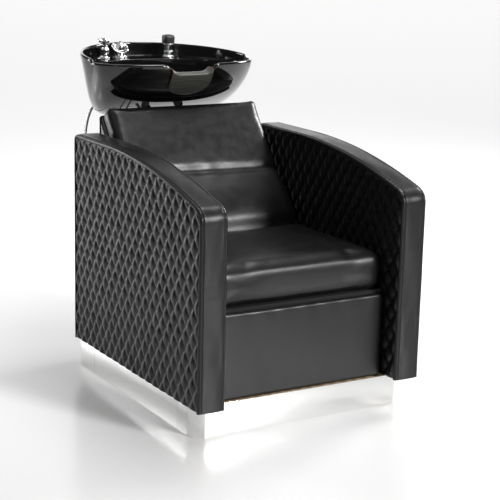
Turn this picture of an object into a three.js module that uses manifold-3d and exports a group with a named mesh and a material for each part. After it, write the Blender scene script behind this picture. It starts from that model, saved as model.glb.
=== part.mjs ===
// Shampoo backwash unit: an upholstered salon chair with a tilting basin behind its headrest.
// Millimetres, +Z up. X is across the chair and +Y runs from the front of the arms to the basin's
// rear rim. The numbers below measure Y from the front of the arms and Z from the floor; the last
// step centres the group, so the exported origin is on the floor, in the middle of the object.
import * as THREE from 'three';
import { mergeVertices } from 'three/addons/utils/BufferGeometryUtils.js';
import Module from 'manifold-3d';

const wasm = await Module();
wasm.setup();

// ---------- driving dimensions ----------
const gap = 0.3;                 // clearance between pieces that touch
const overallWidth = 700;
const armDepth = 778;
const armWidth = 80;
const armRearHeight = 705;
const armFlatStart = 560;        // behind this the arm top is level
const armTopRadius = 1800;       // the arm top falls forward along this arc
const armFrontRadius = 45;
const armRearRadius = 20;
const armFootChamfer = 6;
const bandThickness = 8;
const padThickness = 13;

const plinthHeight = 88;
const plinthHalfWidth = 332;
const plinthFront = 55;
const plinthRear = 775;
const plinthCornerRadius = 40;
const plateThickness = 2;
const plinthFrontSeam = 147;
const plinthRearSeam = 671;
const plinthRail = 40;

const seatFront = 59;
const seatHalfWidth = 267.5;
const seatCushionBottom = 334;
const seatCushionTop = 448;
const seatNoseRadius = 36;
const boardThickness = 18;
const apronTop = 327;

const backHalfWidth = 252;
const backTop = { y: 754, z: 777 };      // front top edge of the back cushion
const backRecline = 37.2 * Math.PI / 180;
const backCushionThickness = 54;
const backBoardThickness = 12;
const lumbarBulge = 12;

const housingHalfWidth = 249;
const housingRear = 825;
const housingWall = 15;

const bowl = {
  halfWidth: 268, rearLength: 325, frontLength: 150, centreY: 845,
  bottom: 745, rimFront: 903, rimRear: 928, wall: 11,
  deck: 885, deckFront: 1040, floor: 762,
};
const notch = { halfWidth: 76, depth: 36, power: 7 };
const drainY = 965;
const drainRadius = 24;
const tiltY = 890;
const tiltZ = 712;
const pinRadius = 6;

const valveAt = { x: -105, y: 1086 };
const mixerAt = { x: -45, y: 1104 };
const sprayAt = { x: 112, y: 1076 };

const inletZ = 330;
const inlets = [{ name: 'hot_inlet', x: -100 }, { name: 'cold_inlet', x: -60 }];
const wasteAt = { x: 90, z: 300 };

const overallDepth = bowl.centreY + bowl.rearLength;
const armOuter = overallWidth / 2;
const armInner = armOuter - armWidth;

// ---------- materials ----------
const finish = (color, roughness, metalness) => () =>
  new THREE.MeshStandardMaterial({ color, roughness, metalness });
const leather = finish(0x232324, 0.45, 0);
const plywood = finish(0xb08a5c, 0.8, 0);
const stainless = finish(0xd8d8d6, 0.16, 1);
const chrome = finish(0xe2e2e2, 0.06, 1);
const glaze = finish(0x08080a, 0.06, 0);
const gel = finish(0x6b6b60, 0.55, 0);
const steelPaint = finish(0x1b1b1c, 0.4, 0.4);
const plastic = finish(0x141415, 0.35, 0);
const rubber = finish(0x1a1a1a, 0.8, 0);
const brass = finish(0xb08d45, 0.3, 1);

const unit = new THREE.Group();

function add(name, geometry, material, parent = unit) {
  const mesh = new THREE.Mesh(geometry, material());
  mesh.name = name;
  parent.add(mesh);
  return mesh;
}

// ---------- geometry helpers ----------
const box = (x0, x1, y0, y1, z0, z1) => {
  const g = new THREE.BoxGeometry(x1 - x0, y1 - y0, z1 - z0);
  return g.translate((x0 + x1) / 2, (y0 + y1) / 2, (z0 + z1) / 2);
};

// a (Y, Z) outline swept along X
const prismX = (shape, x0, x1, curveSegments = 10) => {
  const g = new THREE.ExtrudeGeometry(shape, { depth: x1 - x0, bevelEnabled: false, curveSegments });
  const axes = new THREE.Matrix4().makeBasis(
    new THREE.Vector3(0, 1, 0), new THREE.Vector3(0, 0, 1), new THREE.Vector3(1, 0, 0));
  return g.applyMatrix4(axes).translate(x0, 0, 0);
};

// an (X, Y) outline swept along Z
const prismZ = (shape, z0, z1, curveSegments = 10) => {
  const g = new THREE.ExtrudeGeometry(shape, { depth: z1 - z0, bevelEnabled: false, curveSegments });
  return g.translate(0, 0, z0);
};

const polygon = (points) => new THREE.Shape(points.map(([u, v]) => new THREE.Vector2(u, v)));

const arcPoints = (cx, cy, radius, from, to, steps) => Array.from({ length: steps + 1 }, (_, i) => {
  const a = from + (to - from) * i / steps;
  return [cx + radius * Math.cos(a), cy + radius * Math.sin(a)];
});

// a closed (radius, height) profile turned about +Z
const lathe = (profile, segments = 18) => {
  const g = new THREE.LatheGeometry(profile.map(([r, h]) => new THREE.Vector2(r, h)), segments);
  return g.rotateX(Math.PI / 2);
};

const disc = (radius, z0, z1, segments = 18) =>
  lathe([[0, z0], [radius, z0], [radius, z1], [0, z1]], segments);

const ring = (inner, outer, z0, z1, segments = 18) =>
  lathe([[inner, z0], [outer, z0], [outer, z1], [inner, z1], [inner, z0]], segments);

const rodX = (radius, x0, x1, y, z, segments = 20) =>
  disc(radius, x0, x1, segments).rotateY(Math.PI / 2).translate(0, y, z);

const ringX = (inner, outer, x0, x1, y, z, segments = 20) =>
  ring(inner, outer, x0, x1, segments).rotateY(Math.PI / 2).translate(0, y, z);

const rodY = (radius, y0, y1, x, z, segments = 16) =>
  disc(radius, -y1, -y0, segments).rotateX(Math.PI / 2).translate(x, 0, z);

// polygonal nut with a round bore
function nut(bore, outer, z0, z1, sides = 6) {
  const shape = polygon(arcPoints(0, 0, outer, 0, 2 * Math.PI, sides).slice(1));
  const hole = new THREE.Path();
  hole.absarc(0, 0, bore + 2 * gap, 0, 2 * Math.PI, true);
  shape.holes.push(hole);
  return prismZ(shape, z0, z1, 8);
}

function hose(points, radius, steps, sides = 8) {
  const path = new THREE.CatmullRomCurve3(points.map((p) => new THREE.Vector3(...p)), false, 'centripetal');
  const section = new THREE.Shape();
  section.absarc(0, 0, radius, 0, 2 * Math.PI);
  return new THREE.ExtrudeGeometry(section, { steps, extrudePath: path, curveSegments: sides / 2 });
}

// ---------- booleans ----------
function solid(geometry) {
  const bare = geometry.clone();
  bare.deleteAttribute('normal');
  bare.deleteAttribute('uv');
  const g = mergeVertices(bare, 1e-4);
  return new wasm.Manifold(new wasm.Mesh({
    numProp: 3,
    vertProperties: new Float32Array(g.attributes.position.array),
    triVerts: new Uint32Array(g.index.array),
  }));
}

function geometryOf(manifold) {
  const mesh = manifold.getMesh();
  const g = new THREE.BufferGeometry();
  g.setAttribute('position', new THREE.BufferAttribute(new Float32Array(mesh.vertProperties), 3));
  g.setIndex(new THREE.BufferAttribute(new Uint32Array(mesh.triVerts), 1));
  g.computeVertexNormals();
  return g;
}

const cut = (geometry, ...tools) =>
  geometryOf(tools.reduce((body, tool) => body.subtract(solid(tool)), solid(geometry)));

const join = (geometry, ...others) =>
  geometryOf(others.reduce((body, other) => body.add(solid(other)), solid(geometry)));

// closed loft through rings of points that run anticlockwise about the loft's direction, all with the
// same count; flatten gives a ring point's two coordinates in the plane of the end caps
function loft(rings, flatten = (p) => new THREE.Vector2(p.x, p.y)) {
  const count = rings[0].length;
  const index = [];
  for (let k = 0; k < rings.length - 1; k++) {
    for (let i = 0; i < count; i++) {
      const a = k * count + i;
      const b = k * count + (i + 1) % count;
      index.push(a, b, b + count, a, b + count, a + count);
    }
  }
  const last = (rings.length - 1) * count;
  for (const [a, b, c] of THREE.ShapeUtils.triangulateShape(rings[0].map(flatten), [])) {
    index.push(a, c, b);
  }
  for (const [a, b, c] of THREE.ShapeUtils.triangulateShape(rings.at(-1).map(flatten), [])) {
    index.push(last + a, last + b, last + c);
  }
  const g = new THREE.BufferGeometry().setFromPoints(rings.flat());
  g.setIndex(index);
  g.computeVertexNormals();
  return g;
}

// ---------- plinth ----------
// open strip of sheet following an outline and the same outline moved inwards
const stripShape = (outer, inner) => polygon([...outer, ...inner.reverse()]);

// U-shaped outline round one end of the plinth, seen from above
function plinthEnd(inset, seamY, endY, radius) {
  const side = plinthHalfWidth - inset;
  const toEnd = Math.sign(endY - seamY);
  const end = endY - toEnd * inset;
  const r = Math.max(radius - inset, 0.1);
  const left = arcPoints(-side + r, end - toEnd * r, r, Math.PI, Math.PI - toEnd * Math.PI / 2, 8);
  const right = arcPoints(side - r, end - toEnd * r, r, toEnd * Math.PI / 2, 0, 8);
  return [[-side, seamY], ...left, ...right, [side, seamY]];
}

function makePlinth() {
  const seamGap = 0.5;
  const plateTop = plinthHeight - gap;
  const endPlate = (seamY, endY, radius) => prismZ(stripShape(
    plinthEnd(0, seamY, endY, radius), plinthEnd(plateThickness, seamY, endY, radius)), 0, plateTop);
  add('plinth_front', endPlate(plinthFrontSeam, plinthFront, plinthCornerRadius), stainless);
  add('plinth_rear', endPlate(plinthRearSeam, plinthRear, 8), stainless);
  for (const [side, name] of [[-1, 'plinth_left'], [1, 'plinth_right']]) {
    const x = [side * plinthHalfWidth, side * (plinthHalfWidth - plateThickness)].sort((a, b) => a - b);
    const y = [plinthFrontSeam + seamGap, plinthRearSeam - seamGap];
    add(name, box(x[0], x[1], y[0], y[1], 0, plateTop), stainless);
  }
  // timber ring behind the plates, with the plumbing well in its middle
  const inset = plateThickness + gap;
  const corner = plinthCornerRadius - inset;
  const outer = new THREE.Shape();
  const side = plinthHalfWidth - inset;
  const front = plinthFront + inset;
  const rear = plinthRear - inset;
  outer.moveTo(-side, rear - 8);
  outer.lineTo(-side, front + corner);
  outer.absarc(-side + corner, front + corner, corner, Math.PI, 1.5 * Math.PI, false);
  outer.absarc(side - corner, front + corner, corner, 1.5 * Math.PI, 2 * Math.PI, false);
  outer.lineTo(side, rear - 8);
  outer.lineTo(side - 8, rear);
  outer.lineTo(-side + 8, rear);
  outer.holes.push(polygon([
    [-side + plinthRail, front + plinthRail], [-side + plinthRail, rear - plinthRail],
    [side - plinthRail, rear - plinthRail], [side - plinthRail, front + plinthRail]]));
  add('plinth_frame', prismZ(outer, 0, plinthHeight - gap, 6), plywood);
  // steel angles that bolt the plinth to the floor
  const angle = polygon([[0, 0], [45, 0], [45, 4], [4, 4], [4, 60], [0, 60]]);
  for (const [sign, name] of [[-1, 'anchor_bracket_left'], [1, 'anchor_bracket_right']]) {
    const bracket = add(name, prismX(angle, -30, 30), stainless);
    bracket.rotation.z = sign * Math.PI / 2;
    bracket.position.set(sign * (side - plinthRail - gap), (plinthFront + plinthRear) / 2, 0);
  }
}

// ---------- arms ----------
// side outline of an arm, moved inwards by inset, as (Y, Z) points
function armOutline(inset) {
  const bottom = plinthHeight + gap;
  const bigY = armFlatStart;
  const bigZ = armRearHeight - armTopRadius;
  const filletZ = bigZ + Math.sqrt((armTopRadius - armFrontRadius) ** 2 - (bigY - armFrontRadius) ** 2);
  const meet = Math.atan2(filletZ - bigZ, armFrontRadius - bigY);
  const rearZ = armRearHeight - armRearRadius;
  const corner = inset ? [] : [armFootChamfer];
  const frontFoot = corner.flatMap((c) => [[c, bottom], [0, bottom + c]]);
  const rearFoot = corner.flatMap((c) => [[armDepth, bottom + c], [armDepth - c, bottom]]);
  return [
    ...(inset ? [[inset, bottom]] : frontFoot),
    ...arcPoints(armFrontRadius, filletZ, armFrontRadius - inset, Math.PI, meet, 6),
    ...arcPoints(bigY, bigZ, armTopRadius - inset, meet, Math.PI / 2, 14).slice(1),
    ...arcPoints(armDepth - armRearRadius, rearZ, armRearRadius - inset, Math.PI / 2, 0, 4),
    ...(inset ? [[armDepth - inset, bottom]] : rearFoot),
  ];
}

function makeArm(side, suffix) {
  const inside = bandThickness + gap;
  const span = (a, b) => (side < 0 ? [-b, -a] : [a, b]);
  const outline = polygon(armOutline(inside));
  const layer = (name, from, to, material) => {
    const [x0, x1] = span(from, to);
    add(`${name}_${suffix}`, prismX(outline, x0, x1), material);
  };
  const band = [...armOutline(0), ...armOutline(bandThickness).reverse()];
  const [x0, x1] = span(armInner, armOuter);
  add(`arm_band_${suffix}`, prismX(polygon(band), x0, x1), leather);
  layer('arm_inner_pad', armInner, armInner + padThickness, leather);
  layer('arm_core', armInner + padThickness + gap, armOuter - padThickness - gap, plywood);
  layer('arm_outer_pad', armOuter - padThickness, armOuter, leather);
}

// ---------- seat ----------
function makeSeat() {
  const boardTop = plinthHeight + gap + boardThickness;
  const well = 90;
  const floorBoard = box(-armInner + gap, armInner - gap, seatFront + boardThickness,
    plinthRear, plinthHeight + gap, boardTop);
  add('base_board', cut(floorBoard, box(-well, well, 640, 740, 0, 200)), plywood);
  const apronBack = seatFront + 2 * boardThickness;
  add('apron_pad', box(-seatHalfWidth + 4, seatHalfWidth - 4, seatFront,
    seatFront + boardThickness - gap, plinthHeight + gap, apronTop), leather);
  const deckBottom = apronTop - 7;
  add('apron_board', box(-seatHalfWidth + 8, seatHalfWidth - 8, seatFront + boardThickness,
    apronBack, boardTop + gap, deckBottom), plywood);
  add('seat_rail', box(-seatHalfWidth + 8, seatHalfWidth - 8, 380, 380 + boardThickness,
    boardTop + gap, deckBottom), plywood);
  add('seat_board', box(-seatHalfWidth + 4, seatHalfWidth - 4, seatFront + boardThickness, 400,
    deckBottom + gap, seatCushionBottom - gap), plywood);

  const r = seatNoseRadius;
  const backOf = (z) => backTop.y - (backTop.z - z) * Math.tan(backRecline) - 4;
  const profile = [
    [backOf(seatCushionBottom), seatCushionBottom],
    [backOf(seatCushionTop), seatCushionTop],
    ...arcPoints(seatFront + r, seatCushionTop - r, r, Math.PI / 2, Math.PI, 6),
    ...arcPoints(seatFront + 14, seatCushionBottom + 14, 14, Math.PI, 1.5 * Math.PI, 3),
  ].reverse();
  add('seat_cushion', prismX(polygon(profile), -seatHalfWidth, seatHalfWidth), leather);
}

// ---------- back ----------
// point on the back's side outline: along the reclined face from its top edge, and into the back
const onBack = (along, into) => {
  const s = Math.sin(backRecline);
  const c = Math.cos(backRecline);
  return [backTop.y - along * s + into * c, backTop.z - along * c - into * s];
};

const alongAt = (z, into) => (backTop.z - into * Math.sin(backRecline) - z) / Math.cos(backRecline);

function makeBack() {
  const foot = seatCushionBottom + 2;
  const t = backCushionThickness;
  const cushion = [
    onBack(2, 0), onBack(250, 0), onBack(300, -lumbarBulge / 2), onBack(390, -lumbarBulge / 2),
    onBack(415, 0), onBack(alongAt(foot, 0), 0), onBack(alongAt(foot, t), t), onBack(0, t),
  ];
  add('back_cushion', prismX(polygon(cushion), -backHalfWidth, backHalfWidth), leather);
  const board = [[0, t + gap], [alongAt(foot, t + gap), t + gap],
    [alongAt(foot, t + gap + backBoardThickness), t + gap + backBoardThickness],
    [0, t + gap + backBoardThickness]].map(([a, i]) => onBack(a, i));
  add('back_board', prismX(polygon(board), -backHalfWidth + 4, backHalfWidth - 4), plywood);
}

function makeHousing() {
  const behind = backCushionThickness + backBoardThickness + 2 * gap;
  const floorZ = plinthHeight + boardThickness + 2 * gap;
  const frontZ = 470;
  const shell = (inset, low) => {
    const top = onBack(inset * 1.5, behind + inset);
    const bottom = onBack(alongAt(frontZ, behind + inset), behind + inset);
    return polygon([
      bottom, [housingRear - 190 + inset, low], [housingRear - inset, low],
      [housingRear - inset, 690 - inset / 2], [811 - inset / 2, 752 - inset], top]);
  };
  const outer = prismX(shell(0, floorZ), -housingHalfWidth, housingHalfWidth);
  const hollow = prismX(shell(housingWall, floorZ - 30), -housingHalfWidth + housingWall,
    housingHalfWidth - housingWall);
  const panel = { halfWidth: 150, low: 170, high: 470 };
  const access = box(-panel.halfWidth + 20, panel.halfWidth - 20, housingRear - 40, housingRear + 10,
    panel.low + 20, panel.high - 20);
  add('rear_housing', cut(outer, hollow, access), leather);

  const plate = box(-panel.halfWidth, panel.halfWidth, housingRear + gap, housingRear + 4,
    panel.low, panel.high);
  const inletHoles = inlets.map(({ x }) => rodY(10, housingRear - 5, housingRear + 10, x, inletZ));
  const wasteHole = rodY(21.5, housingRear - 5, housingRear + 10, wasteAt.x, wasteAt.z);
  add('service_panel', cut(plate, ...inletHoles, wasteHole), plastic);
  for (const [side, name] of [[-1, 'panel_screw_left'], [1, 'panel_screw_right']]) {
    const head = rodY(6, housingRear + 4 + gap, housingRear + 7, side * (panel.halfWidth - 14),
      panel.high - 14, 12);
    add(name, head, stainless);
  }
}

// ---------- basin ----------
const rimZ = (y) => {
  const rise = Math.sqrt(Math.min(Math.max((y - 800) / (overallDepth - 800), 0), 1));
  return bowl.rimFront + (bowl.rimRear - bowl.rimFront) * rise;
};

const notchDrop = (x) => notch.depth * Math.exp(-((Math.abs(x) / notch.halfWidth) ** notch.power));

// how the plan shrinks and moves back with depth t, from 0 at the rim to 1 at the bottom
const wallProfile = (t) => {
  const wide = (1 - t ** 1.1) ** 0.118;
  return { wide, long: wide ** 2.2, back: 100 * t ** 2.3 };
};

// one point of an egg-shaped plan: a softly squared front and a round rear
function planPoint(angle, halfWidth, rearLength, frontLength) {
  const c = Math.cos(angle);
  const s = Math.sin(angle);
  const power = s > 0 ? 1.9 : 2.3;
  const length = s > 0 ? rearLength : frontLength;
  const r = (Math.abs(c) / halfWidth) ** power + (Math.abs(s) / length) ** power;
  const reach = r ** (-1 / power);
  return [reach * c, reach * s];
}

const planSteps = 48;
const planAngles = Array.from({ length: planSteps }, (_, i) => 2 * Math.PI * i / planSteps);

// ring of the outer skin at depth t, moved inwards and upwards by inset
const skinRing = (t, inset) => planAngles.map((angle) => {
  const { wide, long, back } = wallProfile(t);
  const [, rimY] = planPoint(angle, bowl.halfWidth, bowl.rearLength, bowl.frontLength);
  const [x, y] = planPoint(angle, bowl.halfWidth * wide - inset, bowl.rearLength * long - inset,
    bowl.frontLength * long - inset);
  const top = rimZ(bowl.centreY + rimY);
  const low = bowl.bottom + inset;
  return new THREE.Vector3(x, bowl.centreY + back + y, low + (top - low) * (1 - t));
});

// Y of the outer skin's front at a given X and Z
function frontWallY(x, z) {
  const { wide, long, back } = wallProfile((bowl.rimFront - z) / (bowl.rimFront - bowl.bottom));
  const across = Math.min((Math.abs(x) / (bowl.halfWidth * wide)) ** 2.3, 1);
  return bowl.centreY + back - bowl.frontLength * long * (1 - across) ** (1 / 2.3);
}

const skinDepths = [0.995, 0.97, 0.92, 0.84, 0.73, 0.6, 0.45, 0.3, 0.15, 0];

function basinRing(z, scale) {
  const { wide, long, back } = wallProfile((bowl.rimFront - z) / (bowl.rimFront - bowl.bottom));
  return planAngles.map((angle) => {
    const [x, y] = planPoint(angle, (bowl.halfWidth * wide - bowl.wall - 6) * scale,
      (bowl.deckFront - bowl.centreY) * (0.35 + 0.65 * long) * scale,
      (bowl.frontLength * long - bowl.wall) * scale);
    return new THREE.Vector3(x, bowl.centreY + back + y, z);
  });
}

function recessRing(z, inset) {
  return planAngles.map((angle) => {
    const [x, y] = planPoint(angle, bowl.halfWidth - inset, bowl.rearLength - inset,
      bowl.frontLength - inset);
    return new THREE.Vector3(x, bowl.centreY + y, z);
  });
}

const prismY = (shape, y0, y1) => {
  const g = new THREE.ExtrudeGeometry(shape, { depth: y1 - y0, bevelEnabled: false });
  return g.rotateX(Math.PI / 2).translate(0, y1, 0);
};

function makeBowl() {
  const shell = solid(loft(skinDepths.map((t) => skinRing(t, 0))));
  const recess = solid(loft([recessRing(bowl.deck, 15), recessRing(bowl.deck + 8, 13),
    recessRing(bowl.rimRear + 30, 11)]));
  const basin = solid(loft([basinRing(bowl.floor, 0.75), basinRing(bowl.floor + 5, 0.88),
    basinRing(bowl.floor + 18, 0.96), basinRing(bowl.floor + 45, 1), basinRing(845, 1),
    basinRing(bowl.deck + 1, 1)]));
  const steps = 36;
  const reach = 108;
  const valley = Array.from({ length: steps + 1 }, (_, i) => {
    const x = -reach + 2 * reach * i / steps;
    return [x, bowl.rimFront - notchDrop(x)];
  });
  const neck = solid(prismY(polygon([...valley, [reach, 980], [-reach, 980]]), 600, 790));
  const hollow = solid(loft(skinDepths.slice(0, -1).map((t) => skinRing(t, bowl.wall))));
  const underDeck = bowl.deck - 12;
  const pocket = hollow.intersect(solid(box(-145, 145, bowl.deckFront + 14, 1300, 700, underDeck)));
  const hatch = solid(box(-125, 125, bowl.deckFront + 18, 1096, 700, 806));
  const holes = [
    disc(drainRadius, 700, 800).translate(0, drainY, 0),
    disc(7.4, 800, 950).translate(valveAt.x, valveAt.y, 0),
    disc(13, 800, 950).translate(mixerAt.x, mixerAt.y, 0),
    disc(13, 800, 950).translate(sprayAt.x, sprayAt.y, 0),
  ].map(solid);
  const body = [recess, basin, neck, pocket, hatch, ...holes].reduce((b, tool) => b.subtract(tool), shell);
  add('bowl', geometryOf(body), glaze);
}

// soft saddle hooked over the lip of the neck notch
function makeNeckRest() {
  const halfSpan = 68;
  const thick = 9;
  const clear = 2.5;
  const steps = 18;
  const rings = Array.from({ length: steps + 1 }, (_, i) => {
    const x = -halfSpan + 2 * halfSpan * i / steps;
    const top = bowl.rimFront - notchDrop(x);
    const flap = 62 - 18 * (x / halfSpan) ** 2;
    const outside = [0, 0.33, 0.66, 1].map((f) => {
      const z = top - flap * f;
      return [frontWallY(x, z) - clear, z];
    });
    const inside = (z) => frontWallY(x, z) + bowl.wall + clear + 5 + 6 * (x / halfSpan) ** 2;
    const skin = outside.map(([y, z]) => [y - thick * 0.8, z + thick * 0.3]);
    const hook = top - 14;
    const section = [
      skin.at(-1), ...outside.toReversed(), [outside[0][0], top + clear], [inside(top), top + clear],
      [inside(hook), hook], [inside(hook) + thick - 2, hook],
      [inside(top) + thick - 2, top + clear + thick * 0.7],
      [inside(top) - 6, top + clear + thick], [skin[0][0] + 5, top + clear + thick],
      ...skin.slice(0, -1),
    ];
    return section.map(([y, z]) => new THREE.Vector3(x, y, z));
  });
  add('neck_rest', loft(rings, (p) => new THREE.Vector2(p.y, p.z)), gel);
}

// ---------- drain ----------
function makeDrain() {
  const at = (g) => g.translate(0, drainY, 0);
  const seat = bowl.floor + gap;
  const tube = drainRadius - 2;
  add('drain_flange', at(lathe([[tube - 3, 716], [tube, 716], [tube, seat], [40, seat],
    [39, seat + 2.5], [tube - 3, seat + 2], [tube - 3, 716]])), chrome);
  add('strainer_basket', at(lathe([[0, 747], [tube - 4, 747], [tube - 4, seat + 2.8], [30, seat + 2.8],
    [29, seat + 5], [tube - 6, seat + 5], [tube - 6, 749], [0, 749]])), chrome);
  add('drain_gasket', at(ring(tube + gap, 38, 741.5, 745.2)), rubber);
  add('drain_nut', at(nut(tube, 34, 730, 741.2, 8)), brass);
  add('drain_tailpiece', at(ring(tube - 6, tube - 2, 660, 715.7)), chrome);
}

// ---------- tilting support ----------
function makeSupport() {
  const cheek = { inner: 58, outer: 64 };
  const ear = { inner: 50, outer: 57 };
  const bushOuter = pinRadius + 3;
  const wallFace = housingRear + gap;
  const floorZ = plinthHeight + boardThickness + 2 * gap;

  add('post_flange', box(-60, 60, 745, 809, floorZ, floorZ + 6), steelPaint);
  const tube = polygon([[-25, 779], [25, 779], [25, 809], [-25, 809]]);
  tube.holes.push(polygon([[-22, 782], [-22, 806], [22, 806], [22, 782]]));
  add('bowl_post', prismZ(tube, floorZ + 6 + gap, 660), steelPaint);

  const side = polygon([[wallFace + 4, 604], [wallFace + 40, 640], [tiltY + 14, 704], [tiltY + 12, 722],
    [tiltY - 4, 728], [wallFace + 30, 716], [wallFace + 4, 684]]);
  const cheeks = [-1, 1].map((s) => prismX(side, ...[s * cheek.inner, s * cheek.outer].sort((a, b) => a - b)));
  const plate = box(-78, 78, wallFace, wallFace + 6, 596, 688);
  const bracket = join(plate, ...cheeks);
  add('pivot_bracket', cut(bracket, rodX(pinRadius + gap, -90, 90, tiltY, tiltZ)), steelPaint);

  const head = rodX(10, cheek.outer + gap, cheek.outer + 5, tiltY, tiltZ);
  add('tilt_pin', join(rodX(pinRadius, -cheek.outer - 2, cheek.outer + 3, tiltY, tiltZ), head), stainless);

  const earSide = polygon([[tiltY - 16, 742], [tiltY - 16, 704], [tiltY - 8, 696], [tiltY + 8, 696],
    [tiltY + 20, 708], [tiltY + 60, 742]]);
  const ears = [-1, 1].map((s) => prismX(earSide, ...[s * ear.inner, s * ear.outer].sort((a, b) => a - b)));
  const saddle = box(-85, 85, tiltY - 16, 1020, 739, 744.6);
  const cradle = join(saddle, ...ears);
  add('tilt_cradle', cut(cradle, rodX(bushOuter + gap, -90, 90, tiltY, tiltZ),
    disc(42, 700, 760).translate(0, drainY, 0)), steelPaint);
  for (const [s, name] of [[-1, 'tilt_bush_left'], [1, 'tilt_bush_right']]) {
    const [x0, x1] = [s * (ear.inner - 1), s * (ear.outer + 0.5)].sort((a, b) => a - b);
    add(name, ringX(pinRadius + gap, bushOuter, x0, x1, tiltY, tiltZ), plastic);
  }
  const hubEnd = -cheek.outer - 2.4;
  const hub = rodX(13, hubEnd - 14, hubEnd, tiltY, tiltZ);
  const arm = box(hubEnd - 11, hubEnd - 4, tiltY - 5, tiltY + 5, tiltZ - 78, tiltZ);
  add('tilt_lock_lever', join(hub, arm), plastic);
}

// ---------- deck fittings ----------
const onDeck = bowl.deck + gap;
const nutTop = bowl.deck - 12 - gap;

function makeValve() {
  const at = (g) => g.translate(valveAt.x, valveAt.y, 0);
  add('valve_body', at(lathe([[0, 850], [7, 850], [7, onDeck], [15, onDeck], [15, 888], [8, 891],
    [8, 897], [12, 902], [13, 909], [11, 916], [8, 920], [8, 928], [0, 928]])), chrome);
  const capBody = lathe([[0, 928.3], [11, 928.3], [15, 934], [16, 943], [12, 950], [0, 952]]);
  add('valve_cap', at(join(capBody, rodX(6, -25, 0, 0, 942))), chrome);
}

function makeMixer() {
  const at = (g) => g.translate(mixerAt.x, mixerAt.y, 0);
  const domeZ = 917;
  add('mixer_base', at(lathe([[0, 846], [12.6, 846], [12.6, onDeck], [23, onDeck], [23, 888],
    [17, 891], [15, 898], [15, 901], [0, 901]])), chrome);
  add('mixer_nut', at(nut(12.8, 20, 862, nutTop)), brass);
  const dome = arcPoints(0, domeZ, 19, -Math.PI / 3.4, Math.PI / 2, 10).map(([r, z]) => [Math.max(r, 0), z]);
  add('mixer_cap', at(lathe([[0, dome[0][1]], ...dome])), chrome);
  const loop = new THREE.TorusGeometry(25, 2.5, 6, 20).rotateX(Math.PI / 2 - 0.9);
  const stubs = [-1, 1].map((s) => rodX(3, ...[s * 20, s * 25].sort((a, b) => a - b), 0, 0, 10));
  add('mixer_lever', at(join(loop, ...stubs).translate(0, 0, domeZ)), chrome);
}

function makeSprayer() {
  const at = (g) => g.translate(sprayAt.x, sprayAt.y, 0);
  add('spray_guide', at(lathe([[11.2, 850], [12.7, 850], [12.7, onDeck], [21, onDeck], [21, 889],
    [15.5, 892], [15.5, 906], [11.2, 906], [11.2, 850]])), chrome);
  add('guide_nut', at(nut(12.8, 20, 862, nutTop)), brass);
  add('spray_handle', at(lathe([[0, 846], [8, 846], [10.6, 856], [10.6, 903], [10.6, 906.3], [12, 907],
    [11, 922], [16, 925], [16, 928], [0, 928]])), chrome);
  const headRing = (z, half) => Array.from({ length: 24 }, (_, i) => {
    const a = 2 * Math.PI * i / 24;
    const r = half * (Math.cos(a) ** 4 + Math.sin(a) ** 4) ** -0.25;
    return new THREE.Vector3(r * Math.cos(a), r * Math.sin(a), z);
  });
  add('spray_head', at(loft([headRing(928.3, 14), headRing(931, 17), headRing(950, 18),
    headRing(955, 15), headRing(956, 10)])), plastic);
  add('hose_ferrule', at(disc(7.5, 832, 845.7)), chrome);
}

// ---------- plumbing ----------
function makePlumbing() {
  for (const { x, name } of inlets) {
    add(name, join(rodY(9.7, housingRear - 6, housingRear + 12, x, inletZ),
      rodY(13, housingRear + 4.5, housingRear + 12, x, inletZ, 6)), brass);
  }
  add('waste_outlet', join(rodY(21, housingRear - 12, housingRear + 18, wasteAt.x, wasteAt.z, 24),
    rodY(28, housingRear + 4.5, housingRear + 10, wasteAt.x, wasteAt.z, 24)), plastic);

  const shank = [mixerAt.x, mixerAt.y, 845.6];
  add('hot_hose', hose([[shank[0] - 7, shank[1] - 5, shank[2]], [shank[0] - 7, shank[1] - 5, 828],
    [-54, 1086, 795], [-60, 1074, 745],
    [-75, 1040, 640], [-94, 960, 480], [-100, 895, 365], [-100, 862, inletZ + 2],
    [-100, 848, inletZ], [-100, housingRear + 12.4, inletZ]], 4.5, 44), steelPaint);
  add('cold_hose', hose([[shank[0] + 7, shank[1] - 5, shank[2]], [shank[0] + 7, shank[1] - 5, 828],
    [-38, 1086, 795], [-42, 1074, 745],
    [-48, 1040, 640], [-56, 960, 480], [-60, 895, 365], [-60, 862, inletZ + 2],
    [-60, 848, inletZ], [-60, housingRear + 12.4, inletZ]], 4.5, 44), steelPaint);
  add('waste_hose', hose([[0, drainY, 659.6], [0, drainY, 630], [6, drainY - 4, 560],
    [28, 945, 460], [64, 925, 375], [86, 896, 315], [wasteAt.x, 868, wasteAt.z],
    [wasteAt.x, housingRear + 18.6, wasteAt.z]], 17, 30, 12), plastic);
  add('shower_hose', hose([[shank[0], shank[1] + 7, shank[2]], [shank[0] - 1, shank[1] + 6, 828],
    [-64, 1101, 808], [-88, 1082, 784], [-118, 1072, 762], [-152, 1078, 734], [-169, 1079, 695], [-177, 1080, 645], [-180, 1079, 580],
    [-165, 1076, 500], [-110, 1072, 440], [-30, 1068, 420], [50, 1066, 450], [98, 1068, 530],
    [112, 1071, 630], [112, 1074, 730], [112, 1076, 800], [112, 1076, 831.6]], 5.5, 80), chrome);
}

makePlinth();
makeArm(-1, 'left');
makeArm(1, 'right');
makeSeat();
makeBack();
makeHousing();
makeSupport();
makeBowl();
makeNeckRest();
makeDrain();
makeValve();
makeMixer();
makeSprayer();
makePlumbing();

unit.position.y = -overallDepth / 2;
unit.updateMatrixWorld(true);

export default unit;
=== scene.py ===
# Shampoo backwash unit: quilted armchair with a tilting basin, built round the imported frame.
import math

import bpy
import numpy as np
from mathutils import Matrix, Vector


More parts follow.
